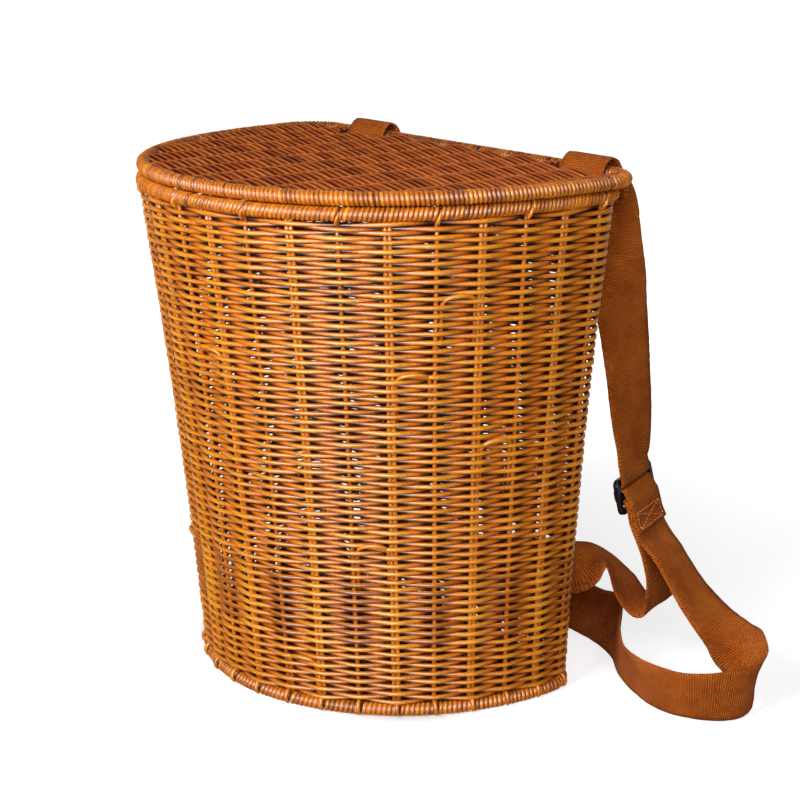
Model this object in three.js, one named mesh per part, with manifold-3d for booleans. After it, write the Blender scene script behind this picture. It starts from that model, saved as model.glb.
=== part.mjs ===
// Woven half-round carrying basket with a hinged lid and two webbing shoulder straps.
// Millimetres, +Z up, flat back towards +Y, origin on the floor under the middle of the basket.
import * as THREE from 'three';
import { mergeVertices } from 'three/addons/utils/BufferGeometryUtils.js';
import Module from 'manifold-3d';

const wasm = await Module();
wasm.setup();

// Overall sizes: the lid gives the width and depth, the lid's top gives the height.
const HEIGHT = 350;
const LID = { width: 335, depth: 240, back: 121, side: 0.13, power: 2.2, corner: 24 };
const RIM = { width: 325, depth: 236, back: 115, side: 0.13, power: 2.2, corner: 24 };
const BASE = { width: 283, depth: 187, back: 105.6, side: 0.16, power: 1.97, corner: 24 };
const GAP = 0.3;

// Wrapped hoops, drawn with eight sides, a flat one down; each radius is to the flat.
const HOOP_SIDES = 8;
const HOOP_STEPS = 96;
const STRAIGHT_SHARE = 0.14;
const LID_HOOP_R = 4.55;
const RIM_HOOP_R = 4.55;
const BASE_HOOP_R = 4.4;
const BASE_Z = BASE_HOOP_R;
const LID_Z = HEIGHT - LID_HOOP_R;
const RIM_Z = LID_Z - LID_HOOP_R - RIM_HOOP_R - GAP;

// Woven wall: courses that pass outside one stake and inside the next, each in turn with the last.
const FRONT_STAKES = 21;
const FIRST_STAKE_SHARE = 0.1856;
const NEXT_STAKE_SHARE = 0.0323;
const BACK_STAKES = 9;
const STAKE_R = 1.3;
const WALL_THICK = 3;
const WALL_WAVE = STAKE_R + WALL_THICK / 2 + GAP + 0.2;
const WALL_SAG = 2.5;
const WALL_COURSES = 5;
const STAKE_LEVELS = 5;
const COURSE_NIP = 1;
const WALL_LOW = BASE_Z + BASE_HOOP_R + GAP;
const WALL_HIGH = RIM_Z - RIM_HOOP_R - GAP;

// Lid courses and the ribs, which run from the front hoop to the back hoop, as many as fit.
const RIB_PITCH = 31.2;
const RIB_MARGIN = 22;
const RIB_R = 1.3;
const LID_COURSES = 5;
const LID_THICK = 2.6;
const LID_WAVE = RIB_R + LID_THICK / 2 + GAP;
const BASE_THICK = 5;

// Webbing and its sliders.
const WEB_WIDTH = 38;
const WEB_THICK = 1.5;
const STRAP_X = { right: 120, left: -96 };
const SLOT_HALF = WEB_WIDTH / 2 + 2;
const LOOP_CLEAR = 5;
const LID_SLOT_DEPTH = 9;
const RIM_SLOT_LOW = WALL_HIGH - 4.2;
const ANCHOR_X = { right: 91, left: -78 };
const ANCHOR_Z = 74;
const SLIT_WIDTH = 13;
const SLIT_HEIGHT = WEB_WIDTH + 4;
const SLIDER = { width: 48, slot: 41, opening: 6, bar: 4, middle: 4.5, thick: 3.2, round: 4 };

const STRAND = { color: 0xc07a2a, roughness: 0.5, metalness: 0 };
const LID_STRAND = { color: 0xa8602c, roughness: 0.55, metalness: 0 };
const WEBBING = { color: 0x8a4a1e, roughness: 0.85, metalness: 0 };
const PLASTIC = { color: 0x101114, roughness: 0.35, metalness: 0 };

const product = new THREE.Group();
product.name = 'woven_basket';

function addPiece(name, geometry, finish) {
  const mesh = new THREE.Mesh(geometry, new THREE.MeshStandardMaterial(finish));
  mesh.name = name;
  product.add(mesh);
  return mesh;
}

// Closed half-round outline, from the middle of the back towards +X.
function outline(shape, inset) {
  const half = shape.width / 2 - inset;
  const deep = shape.depth - 2 * inset;
  const back = shape.back - inset;
  const straight = Math.max(shape.side * deep, shape.corner + 0.1);
  const right = [new THREE.Vector2(0, back)];
  for (let i = 0; i <= 10; i += 1) {
    const turn = ((1 - i / 10) * Math.PI) / 2;
    const x = half - shape.corner + shape.corner * Math.cos(turn);
    const y = back - shape.corner + shape.corner * Math.sin(turn);
    right.push(new THREE.Vector2(x, y));
  }
  for (let i = 0; i <= 90; i += 1) {
    const turn = (i / 90) * (Math.PI / 2);
    const x = half * Math.max(Math.cos(turn), 0) ** (2 / shape.power);
    const y = back - straight - (deep - straight) * Math.sin(turn) ** (2 / shape.power);
    right.push(new THREE.Vector2(x, y));
  }
  const left = right.slice(1, -1).reverse();
  return right.concat(left.map((p) => new THREE.Vector2(-p.x, p.y)));
}

// Points of an outline at shares of its length, each with its outward direction.
function along(points, shares) {
  const steps = points.map((p, i) => p.distanceTo(points[(i + 1) % points.length]));
  const total = steps.reduce((sum, step) => sum + step, 0);
  const at = (share) => {
    let rest = (((share % 1) + 1) % 1) * total;
    let i = 0;
    while (i < steps.length - 1 && rest > steps[i]) {
      rest -= steps[i];
      i += 1;
    }
    return points[i].clone().lerp(points[(i + 1) % points.length], rest / steps[i]);
  };
  return shares.map((share) => {
    const way = at(share + 0.002).sub(at(share - 0.002)).normalize();
    return { point: at(share), out: new THREE.Vector2(-way.y, way.x) };
  });
}

// Closed solid from its corners and triangles, turned so that its faces look outwards.
function solidOf(position, index) {
  let volume = 0;
  const corner = (i) => new THREE.Vector3().fromArray(position, index[i] * 3);
  for (let i = 0; i < index.length; i += 3) {
    volume += corner(i).dot(corner(i + 1).cross(corner(i + 2)));
  }
  if (volume < 0) {
    index.reverse();
  }
  const geometry = new THREE.BufferGeometry();
  geometry.setAttribute('position', new THREE.Float32BufferAttribute(position, 3));
  geometry.setIndex(index);
  return geometry;
}

// Closed solid from matching sections, as a ring or with two end faces.
function sweep(sections, ring) {
  const count = sections[0].length;
  const position = sections.flat().flatMap((v) => [v.x, v.y, v.z]);
  const index = [];
  const spans = ring ? sections.length : sections.length - 1;
  for (let i = 0; i < spans; i += 1) {
    const a = i * count;
    const b = ((i + 1) % sections.length) * count;
    for (let j = 0; j < count; j += 1) {
      const k = (j + 1) % count;
      index.push(a + j, b + j, b + k, a + j, b + k, a + k);
    }
  }
  if (!ring) {
    const end = (sections.length - 1) * count;
    for (let j = 1; j < count - 1; j += 1) {
      index.push(0, j, j + 1, end, end + j + 1, end + j);
    }
  }
  return solidOf(position, index);
}

// Waves of a course: level over a stake, then across to lie in the middle half-way to the next.
const WAVE_STEPS = [
  [0.13, 1],
  [0.45, 0],
  [0.55, 0],
  [0.87, -1],
];

// Woven solid in courses. Each course passes the other side of every stake from the one before it.
// Neighbours are one piece half-way between stakes and draw apart where they pass a stake.
function weave(waves, ring, { low, high, courses, wave, thick }, at) {
  const position = [];
  const places = new Map();
  const corner = (course, edge, i, face) => {
    const level = course + edge;
    const border = level === 0 || level === courses;
    const joined = waves[i] === 0;
    const key = [joined && !border ? -1 : course, level, i, face].join();
    if (!places.has(key)) {
      const nip = joined || border ? 0 : (1 - 2 * edge) * COURSE_NIP;
      const side = course % 2 ? 1 : -1;
      const middle = side * waves[i] * wave;
      const reach = THREE.MathUtils.lerp(low, high, level / courses) + nip;
      places.set(key, places.size);
      position.push(...at(i, reach, middle + (face * thick) / 2).toArray());
    }
    return places.get(key);
  };
  const index = [];
  const quad = (a, b, c, d) => index.push(a, b, c, a, c, d);
  const spans = ring ? waves.length : waves.length - 1;
  for (let course = 0; course < courses; course += 1) {
    for (let i = 0; i < spans; i += 1) {
      const j = (i + 1) % waves.length;
      const spot = (edge, k, face) => corner(course, edge, k, face);
      const joined = waves[i] === 0 && waves[j] === 0;
      quad(spot(0, i, 1), spot(0, j, 1), spot(1, j, 1), spot(1, i, 1));
      quad(spot(1, i, -1), spot(1, j, -1), spot(0, j, -1), spot(0, i, -1));
      if (!joined || course === courses - 1) {
        quad(spot(1, i, 1), spot(1, j, 1), spot(1, j, -1), spot(1, i, -1));
      }
      if (!joined || course === 0) {
        quad(spot(0, i, -1), spot(0, j, -1), spot(0, j, 1), spot(0, i, 1));
      }
    }
    for (const [i, turn] of ring ? [] : [[0, false], [spans, true]]) {
      const end = [corner(course, 0, i, 1), corner(course, 1, i, 1)];
      end.push(corner(course, 1, i, -1), corner(course, 0, i, -1));
      quad(...(turn ? end.reverse() : end));
    }
  }
  return solidOf(position, index);
}

function toManifold(geometry) {
  const mesh = new wasm.Mesh({
    numProp: 3,
    vertProperties: new Float32Array(geometry.getAttribute('position').array),
    triVerts: new Uint32Array(geometry.getIndex().array),
  });
  return new wasm.Manifold(mesh);
}

function welded(geometry) {
  geometry.deleteAttribute('normal');
  geometry.deleteAttribute('uv');
  return mergeVertices(geometry);
}

function cutBoxes(geometry, boxes, border) {
  let solid = toManifold(geometry);
  if (border) {
    solid = solid.intersect(toManifold(border));
  }
  for (const { size, centre } of boxes) {
    const box = new THREE.BoxGeometry(...size).translate(...centre);
    solid = solid.subtract(toManifold(welded(box)));
  }
  const mesh = solid.getMesh();
  const cut = new THREE.BufferGeometry();
  cut.setAttribute('position', new THREE.Float32BufferAttribute(mesh.vertProperties, 3));
  cut.setIndex(Array.from(mesh.triVerts));
  return cut;
}

// Places round a hoop; its straight back needs none between its ends.
const hoopShares = Array.from({ length: HOOP_STEPS }, (_, i) => (i + 0.5) / HOOP_STEPS).filter(
  (share) => Math.abs(share - 0.5) < 0.5 - STRAIGHT_SHARE,
);

function hoop(shape, radius, z) {
  const corner = radius / Math.cos(Math.PI / HOOP_SIDES);
  const sections = along(outline(shape, radius), hoopShares).map(({ point, out }) =>
    Array.from({ length: HOOP_SIDES }, (_, j) => {
      const turn = ((j + 0.5) / HOOP_SIDES) * 2 * Math.PI;
      const reach = corner * Math.cos(turn);
      const x = point.x + out.x * reach;
      const y = point.y + out.y * reach;
      return new THREE.Vector3(x, y, z + corner * Math.sin(turn));
    }),
  );
  return sweep(sections, true);
}

// Where each stake stands round the wall, as a share of the wall's length.
const stakeShares = Array.from(
  { length: FRONT_STAKES },
  (_, i) => FIRST_STAKE_SHARE + NEXT_STAKE_SHARE * i,
);
const lastFront = stakeShares[FRONT_STAKES - 1];
const backPitch = (1 + FIRST_STAKE_SHARE - lastFront) / (BACK_STAKES + 1);
for (let i = 1; i <= BACK_STAKES; i += 1) {
  stakeShares.push(lastFront + backPitch * i);
}

// The wall's middle surface: straight from base hoop to rim hoop but for a slight hollow.
function wallRing(shares) {
  const low = along(outline(BASE, BASE_HOOP_R), shares);
  const high = along(outline(RIM, RIM_HOOP_R), shares);
  return shares.map((_, i) => (z, offset, aside) => {
    const rise = (z - BASE_Z) / (RIM_Z - BASE_Z);
    const point = low[i].point.clone().lerp(high[i].point, rise);
    const out = low[i].out.clone().lerp(high[i].out, rise).normalize();
    const reach = offset - WALL_SAG * 4 * rise * (1 - rise);
    const x = point.x + out.x * reach + out.y * aside;
    const y = point.y + out.y * reach - out.x * aside;
    return new THREE.Vector3(x, y, z);
  });
}

const stakeLevels = Array.from({ length: STAKE_LEVELS }, (_, i) =>
  THREE.MathUtils.lerp(WALL_LOW, WALL_HIGH, i / (STAKE_LEVELS - 1)),
);

function wovenWall() {
  const shares = [];
  const waves = [];
  stakeShares.forEach((share, i) => {
    const next = i + 1 < stakeShares.length ? stakeShares[i + 1] : stakeShares[0] + 1;
    const side = i % 2 ? 1 : -1;
    for (const [part, wave] of WAVE_STEPS) {
      shares.push(THREE.MathUtils.lerp(share, next, part));
      waves.push(side * wave);
    }
  });
  const ring = wallRing(shares);
  const sizes = {
    low: WALL_LOW,
    high: WALL_HIGH,
    courses: WALL_COURSES,
    wave: WALL_WAVE,
    thick: WALL_THICK,
  };
  return weave(waves, true, sizes, (i, z, offset) => ring[i](z, offset, 0));
}

// Uprights: single rods, and pairs of rods side by side, in turn.
function stake(at, pair, top) {
  const levels = stakeLevels.map((z) => THREE.MathUtils.mapLinear(z, WALL_LOW, WALL_HIGH, WALL_LOW, top));
  const sections = levels.map((z) => {
    const section = [];
    for (let j = 0; j < 8; j += 1) {
      const turn = ((j + 0.5) / 8) * 2 * Math.PI;
      const aside = pair ? Math.sign(Math.cos(turn)) * STAKE_R : 0;
      section.push(at(z, STAKE_R * Math.sin(turn), aside + STAKE_R * Math.cos(turn)));
    }
    return section;
  });
  return sweep(sections, false);
}

// Front and back limits of an outline at one place across the basket.
function span(points, x) {
  const hits = [];
  points.forEach((a, i) => {
    const b = points[(i + 1) % points.length];
    if ((a.x - x) * (b.x - x) <= 0 && a.x !== b.x) {
      hits.push(THREE.MathUtils.lerp(a.y, b.y, (x - a.x) / (b.x - a.x)));
    }
  });
  return [Math.min(...hits), Math.max(...hits)];
}

function insideHoop(shape, radius) {
  const inset = radius + GAP;
  return along(outline(shape, radius), hoopShares).map(
    ({ point, out }) => new THREE.Vector2(point.x - out.x * inset, point.y - out.y * inset),
  );
}

// A flat plate that fills a hoop.
function plate(points, z, thick) {
  const flat = new THREE.ExtrudeGeometry(new THREE.Shape(points), { depth: thick, bevelEnabled: false });
  return welded(flat.translate(0, 0, z - thick / 2));
}

const lidHalf = LID.width / 2 - 2 * LID_HOOP_R - GAP;
const sideRibs = Math.floor((lidHalf - RIB_MARGIN) / RIB_PITCH);
const ribX = Array.from({ length: 2 * sideRibs + 1 }, (_, i) => (i - sideRibs) * RIB_PITCH);

// The lid's weave, past the hoop on every side.
function lidWeave(points) {
  const edge = Math.max(...points.map((p) => p.x)) + 1;
  const columns = [[-edge, 0]];
  const first = ribX[0] - RIB_PITCH;
  [first, ...ribX].forEach((x, i) => {
    const side = i % 2 ? 1 : -1;
    for (const [part, wave] of WAVE_STEPS) {
      columns.push([x + part * RIB_PITCH, side * wave]);
    }
  });
  const last = ribX[2 * sideRibs];
  const kept = columns.filter(([x, wave]) => wave === 0 || Math.abs(x) < last + RIB_PITCH / 2);
  kept.push([edge, 0]);
  const sizes = {
    low: Math.min(...points.map((p) => p.y)) - 1,
    high: Math.max(...points.map((p) => p.y)) + 1,
    courses: LID_COURSES,
    wave: LID_WAVE,
    thick: LID_THICK,
  };
  const at = (i, y, offset) => new THREE.Vector3(kept[i][0], y, LID_Z + offset);
  return weave(kept.map(([, wave]) => wave), false, sizes, at);
}

function rib(points, x, z, back) {
  const limits = [x - RIB_R, x, x + RIB_R].map((side) => span(points, side));
  const ends = [Math.max(...limits.map((l) => l[0])), Math.min(back, ...limits.map((l) => l[1]))];
  const sections = ends.map((y) =>
    Array.from({ length: 8 }, (_, j) => {
      const turn = ((j + 0.5) / 8) * 2 * Math.PI;
      return new THREE.Vector3(x + RIB_R * Math.cos(turn), y, z + RIB_R * Math.sin(turn));
    }),
  );
  return sweep(sections, false);
}

// Basket: base, wall, stakes and rim.
addPiece('base_hoop', hoop(BASE, BASE_HOOP_R, BASE_Z), STRAND);
const baseInside = insideHoop(BASE, BASE_HOOP_R);
addPiece('base_panel', plate(baseInside, BASE_Z, BASE_THICK), STRAND);

const stakeAt = wallRing(stakeShares);
const wallY = (x, z) => {
  const rise = (z - BASE_Z) / (RIM_Z - BASE_Z);
  const low = BASE.back - BASE_HOOP_R;
  const high = RIM.back - RIM_HOOP_R;
  return THREE.MathUtils.lerp(low, high, rise) - WALL_SAG * 4 * rise * (1 - rise);
};

// The stake that each strap is threaded round, low on the back wall, and the slits beside it.
const anchorPlace = stakeAt.map((at) => at(ANCHOR_Z, 0, 0));
const backStakes = anchorPlace.filter((place) => place.y > wallY(0, ANCHOR_Z) - 2);

function anchorStake(target) {
  const away = (place) => Math.abs(place.x - target);
  return backStakes.reduce((best, place) => (away(place) < away(best) ? place : best)).x;
}

const slitHalf = backStakes[0].distanceTo(backStakes[1]) / 2;
const anchors = { right: anchorStake(ANCHOR_X.right), left: anchorStake(ANCHOR_X.left) };
const wallCuts = [];
for (const side of ['right', 'left']) {
  const slotTop = WALL_HIGH + 2;
  wallCuts.push({
    size: [2 * SLOT_HALF, 16, slotTop - RIM_SLOT_LOW],
    centre: [STRAP_X[side], RIM.back - RIM_HOOP_R, (slotTop + RIM_SLOT_LOW) / 2],
  });
  for (const way of [-1, 1]) {
    wallCuts.push({
      size: [SLIT_WIDTH, 16, SLIT_HEIGHT],
      centre: [anchors[side] + way * slitHalf, wallY(0, ANCHOR_Z), ANCHOR_Z],
    });
  }
}
addPiece('woven_wall', cutBoxes(wovenWall(), wallCuts), STRAND);

stakeAt.forEach((at, i) => {
  const head = at(WALL_HIGH, 0, 0);
  const underLoop = ['right', 'left'].some(
    (side) => head.y > RIM.back - RIM.corner && Math.abs(head.x - STRAP_X[side]) < SLOT_HALF + LOOP_CLEAR,
  );
  const top = underLoop ? RIM_SLOT_LOW - 0.8 : WALL_HIGH;
  const name = `stake_${String(i + 1).padStart(2, '0')}`;
  addPiece(name, stake(at, i % 2 === 1, top), STRAND);
});
addPiece('top_hoop', hoop(RIM, RIM_HOOP_R, RIM_Z), STRAND);

// Lid: hoop, sheet with a slot for each strap, and ribs.
const lidInside = insideHoop(LID, LID_HOOP_R);
const lidAxisY = LID.back - LID_HOOP_R;
const slotFront = lidAxisY - LID_HOOP_R - LID_SLOT_DEPTH;
const lidCuts = Object.values(STRAP_X).map((x) => ({
  size: [2 * SLOT_HALF, lidAxisY - slotFront, 20],
  centre: [x, (slotFront + lidAxisY) / 2, LID_Z],
}));
addPiece('lid_hoop', hoop(LID, LID_HOOP_R, LID_Z), STRAND);
const lidBorder = plate(lidInside, LID_Z, 2 * LID_HOOP_R);
addPiece('lid_panel', cutBoxes(lidWeave(lidInside), lidCuts, lidBorder), LID_STRAND);
ribX.forEach((x, i) => {
  const atSlot = Object.values(STRAP_X).some((s) => Math.abs(x - s) < SLOT_HALF + RIB_R + 1);
  const back = atSlot ? slotFront - 0.8 : Infinity;
  addPiece(`lid_rib_${i + 1}`, rib(lidInside, x, LID_Z, back), LID_STRAND);
});

// Straps: each place on the route is a middle point and the direction across the webbing.
const ACROSS = [1, 0, 0];
const UPRIGHT = [0, 0, 1];

// From under the rim hoop, up through the lid's slot and back over the lid hoop.
// The tail is sewn to the strap behind the rim.
const LOOP = [
  [120.5, 327.9],
  [114.5, 329.7],
  [110.1, 329.8],
  [105.3, 331.4],
  [103.3, 335.8],
  [104.4, 341],
  [107.2, 346.4],
  [109.8, 351.6],
  [115.2, 355.4],
  [120.8, 353.4],
  [124.6, 347.2],
];

// Heights along and off the slider's middle: running webbing round all three bars.
const RUNNING = [
  [20, 2.9],
  [12, 2.8],
  [9, 2.75],
  [6.6, 1.9],
  [5.5, 0],
  [5.1, -2.9],
  [2.8, -4.9],
  [0, -5.1],
  [-2.8, -4.9],
  [-5.1, -2.9],
  [-5.5, 0],
  [-6.6, 1.9],
  [-9, 2.75],
  [-12, 2.8],
  [-20, 2.7],
];

// The other end, folded round the middle bar and sewn back on itself.
const SEWN = [
  [-20, 4.6],
  [-10, 4.6],
  [-6, 3.7],
  [-4.2, 1.9],
  [-3.6, 0],
  [-3.2, -2.2],
  [-1.5, -3.1],
  [1.5, -3.1],
  [3.2, -2.2],
  [3.6, 0],
  [3.1, 2.3],
  [1.2, 3.4],
  [-3, 4.6],
  [-6, 6],
  [-10, 6.5],
  [-20, 6.8],
  [-27, 8.5],
];

function sliderFrame(centre, across, face) {
  const w = new THREE.Vector3(...across).normalize();
  const n = new THREE.Vector3(...face).addScaledVector(w, -w.dot(new THREE.Vector3(...face))).normalize();
  const u = n.clone().cross(w);
  const c = new THREE.Vector3(...centre);
  const place = ([rise, off]) => [c.clone().addScaledVector(u, rise).addScaledVector(n, off), w];
  const matrix = new THREE.Matrix4().makeBasis(w, u, n).setPosition(c);
  return { place, matrix };
}

const frames = {
  right: sliderFrame([138.2, 150.7, 129.5], [-0.25, 0.96, 0.1], [0.94, 0.26, 0.2]),
  left: sliderFrame([STRAP_X.left, 150, 158], [-1, 0, 0], [0, 1, 0]),
};

const vector = ([place, across]) => [new THREE.Vector3(...place), new THREE.Vector3(...across)];
const flip = ([place, across]) => [place, across.clone().negate()];
const turned = (entry) => flip(vector(entry));
const loopAt = (x, across) => LOOP.map(([y, z]) => [[x, y, z], across]);

function anchorPlaces(x, way) {
  const y = wallY(0, ANCHOR_Z);
  const inner = y - WALL_WAVE - WALL_THICK / 2 - WEB_THICK;
  return [
    [[x + way * (slitHalf + 6.5), y + 8, ANCHOR_Z], UPRIGHT],
    [[x + way * slitHalf, y, ANCHOR_Z], UPRIGHT],
    [[x + way * (slitHalf - 6.5), inner + 0.8, ANCHOR_Z], UPRIGHT],
    [[x, inner - 0.2, ANCHOR_Z], UPRIGHT],
    [[x - way * (slitHalf - 6.5), inner + 0.8, ANCHOR_Z], UPRIGHT],
    [[x - way * slitHalf, y, ANCHOR_Z], UPRIGHT],
    [[x - way * (slitHalf + 9), y + 9, ANCHOR_Z - 1], UPRIGHT],
  ];
}

const rightRoute = [
  ...[
    [[120, 125.9, 338.4], [0.96, 0.27, 0]],
    [[120.1, 128, 333.8], [0.94, 0.34, 0]],
    [[120.1, 128.3, 329.8], [0.97, 0.24, 0]],
    [[120, 125.4, 327.2], [0.99, 0.1, 0]],
  ].map(vector),
  ...loopAt(STRAP_X.right, ACROSS).map(vector),
  ...[
    [[120.1, 127.8, 339.6], [0.97, 0.25, 0]],
    [[120.3, 131.8, 330.5], [0.93, 0.37, 0]],
    [[120.6, 134.2, 320.5], [0.88, 0.47, 0]],
    [[121, 135.4, 310], [0.84, 0.54, 0]],
    [[121.5, 137.8, 297], [0.8, 0.6, 0]],
    [[122.5, 140.6, 279], [0.7, 0.71, 0]],
    [[123.5, 143.8, 260], [0.45, 0.89, 0]],
    [[125, 147, 242], [0.25, 0.97, 0]],
    [[129.2, 149, 210], [0.12, 0.99, 0]],
    [[133.8, 149.8, 176], [0, 1, 0]],
    [[136, 149.8, 160], [-0.12, 0.99, 0]],
  ].map(vector),
  ...RUNNING.map(frames.right.place),
  ...[
    [[152, 157.5, 88.2], [-0.3, 0.95, 0.05]],
    [[157, 160, 71], [-0.22, 0.97, 0.1]],
    [[156.6, 161.5, 55], [-0.1, 0.99, 0.02]],
    [[152, 160, 45], [-0.34, 0.93, -0.15]],
    [[145, 155.5, 45.5], [-0.5, 0.85, 0.15]],
    [[136.9, 148, 57.5], [-0.45, 0.87, 0.21]],
    [[128.8, 141, 72.5], [-0.66, 0.75, 0.08]],
    [[123.7, 134, 80.5], [-0.86, 0.51, 0.05]],
    [[120.2, 126, 79], [-0.75, 0.5, 0.4]],
    [[117.7, 117.5, 75.5], [-0.45, 0.26, 0.84]],
  ].map(vector),
  ...anchorPlaces(anchors.right, 1).map(vector),
  ...[
    [[55, 121, 66], [0, 0.1, 1]],
    [[46, 137, 52], [0, 0.2, 1]],
    [[43.5, 156, 37], [0, 0.4, 0.91]],
    [[52.4, 171, 20], [-0.1, 0.7, 0.7]],
    [[74.4, 176, 15], [0.04, 0.78, 0.62]],
    [[98.4, 170, 17.6], [0.1, 0.5, 0.86]],
    [[125, 153.5, 19.8], [0.1, 0.14, 0.98]],
    [[149.9, 130, 20], [-0.02, -0.03, 1]],
    [[177.1, 112, 19.1], [-0.15, -0.27, 0.95]],
    [[201.3, 105.3, 19.2], [-0.03, -0.32, 0.95]],
    [[225, 109.5, 19.2], [0.14, -0.31, 0.94]],
    [[241.7, 124.5, 19.7], [0.15, -0.15, 0.98]],
    [[248.3, 145, 20.6], [0.12, -0.05, 0.99]],
    [[245, 156.5, 26.5], [0.17, 0.05, 0.98]],
    [[230.5, 161.5, 35.2], [0.25, 0.4, 0.88]],
    [[217.1, 163, 42.6], [0.1, 0.95, 0.3]],
    [[202, 162, 51.5], [-0.04, 0.99, 0.12]],
    [[184.1, 160, 66.1], [-0.17, 0.98, 0.02]],
    [[165, 157.5, 87.5], [-0.26, 0.96, 0]],
    [[151.5, 157.8, 97.6], [-0.25, 0.96, 0.06]],
  ].map(vector),
  ...SEWN.map(frames.right.place),
];

const leftRoute = [
  ...[
    [[-96, 125.9, 338.4], [-1, 0, 0]],
    [[-96, 128, 333.8], [-1, 0, 0]],
    [[-96, 128.3, 329.8], [-1, 0, 0]],
    [[-96, 125.4, 327.2], [-1, 0, 0]],
  ].map(vector),
  ...loopAt(STRAP_X.left, [-1, 0, 0]).map(vector),
  ...[
    [[-96, 127.8, 339.6], [-1, 0, 0]],
    [[-96, 131.8, 330.5], [-1, 0, 0]],
    [[-96, 136, 320.5], [-1, 0, 0]],
    [[-96, 140.6, 310], [-1, 0, 0]],
    [[-96, 144, 296], [-1, 0, 0]],
    [[-96, 148, 270], [-1, 0, 0]],
    [[-96, 150.5, 235], [-1, 0, 0]],
    [[-96, 152, 200], [-1, 0, 0]],
  ].map(vector),
  ...RUNNING.map(frames.left.place),
  ...[
    [[-98, 152, 120], [-0.97, 0, -0.2]],
    [[-104, 149, 102], [-0.85, 0.1, -0.5]],
    [[-111, 141, 86], [-0.55, 0.2, -0.8]],
    [[-113, 129, 79], [-0.15, 0.1, -0.98]],
    [[-107, 117, 74.5], [0, 0, -1]],
  ].map(vector),
  ...anchorPlaces(anchors.left, -1).map(turned),
  ...[
    [[-38, 117, 64], [0, 0, -1]],
    [[-14, 125, 46], [0, 0, -1]],
    [[10, 134, 27], [0, 0, -1]],
    [[28, 148, 20], [0, 0, -1]],
    [[33, 168, 20], [0, 0, -1]],
    [[22, 187, 20], [0, 0, -1]],
    [[-6, 194, 20], [0, 0, -1]],
    [[-36, 183, 20], [0, 0, -1]],
    [[-62, 160, 20], [0, 0, -1]],
    [[-88, 146, 20], [0, 0, -1]],
    [[-116, 148, 20], [0, 0, -1]],
    [[-143, 160, 21], [0.05, 0, -1]],
    [[-160, 175, 26], [0.15, 0, -0.98]],
    [[-159, 191, 39], [0.4, 0, -0.9]],
    [[-142, 194, 57], [0.65, 0, -0.75]],
    [[-122, 186, 79], [0.85, 0, -0.5]],
    [[-103, 168, 104], [0.97, 0, -0.2]],
    [[-97, 156.8, 125], [1, 0, 0]],
  ].map(vector),
  ...SEWN.map(frames.left.place).map(flip),
];

function strap(route) {
  const path = new THREE.CatmullRomCurve3(route.map(([place]) => place), false, 'centripetal');
  const spans = route.length - 1;
  const sections = [];
  for (let i = 0; i < spans; i += 1) {
    const steps = Math.max(1, Math.round(route[i][0].distanceTo(route[i + 1][0]) / 9));
    const count = i === spans - 1 ? steps + 1 : steps;
    for (let j = 0; j < count; j += 1) {
      const t = (i + j / steps) / spans;
      const way = path.getTangent(t);
      const across = route[i][1].clone().lerp(route[i + 1][1], j / steps);
      across.addScaledVector(way, -across.dot(way)).setLength(WEB_WIDTH / 2);
      const off = across.clone().cross(way).setLength(WEB_THICK / 2);
      const middle = path.getPoint(t);
      sections.push([
        middle.clone().add(across).add(off),
        middle.clone().add(across).sub(off),
        middle.clone().sub(across).sub(off),
        middle.clone().sub(across).add(off),
      ]);
    }
  }
  return sweep(sections, false);
}

// Three-bar slider: a rounded frame with an opening either side of the middle bar.
function slider(matrix) {
  const tall = SLIDER.middle + 2 * SLIDER.opening + 2 * SLIDER.bar;
  const points = [];
  for (let i = 0; i < 20; i += 1) {
    const turn = ((Math.floor(i / 5) + (i % 5) / 4) * Math.PI) / 2;
    const sideX = i < 5 || i >= 15 ? 1 : -1;
    const sideY = i < 10 ? 1 : -1;
    const x = sideX * (SLIDER.width / 2 - SLIDER.round) + SLIDER.round * Math.cos(turn);
    const y = sideY * (tall / 2 - SLIDER.round) + SLIDER.round * Math.sin(turn);
    points.push(new THREE.Vector2(x, y));
  }
  const frame = new THREE.ExtrudeGeometry(new THREE.Shape(points), {
    depth: SLIDER.thick,
    bevelEnabled: false,
  });
  frame.translate(0, 0, -SLIDER.thick / 2);
  const rise = (SLIDER.middle + SLIDER.opening) / 2;
  const openings = [-rise, rise].map((y) => ({
    size: [SLIDER.slot, SLIDER.opening, 3 * SLIDER.thick],
    centre: [0, y, 0],
  }));
  return cutBoxes(welded(frame), openings).applyMatrix4(matrix);
}

addPiece('strap_right', strap(rightRoute), WEBBING);
addPiece('strap_left', strap(leftRoute), WEBBING);
addPiece('slider_right', slider(frames.right.matrix), PLASTIC);
addPiece('slider_left', slider(frames.left.matrix), PLASTIC);

export default product;
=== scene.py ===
"""Woven half-round carrying basket: strand weave, wrapped rims, a hinged lid and webbing straps."""

import math
from types import SimpleNamespace

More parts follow.
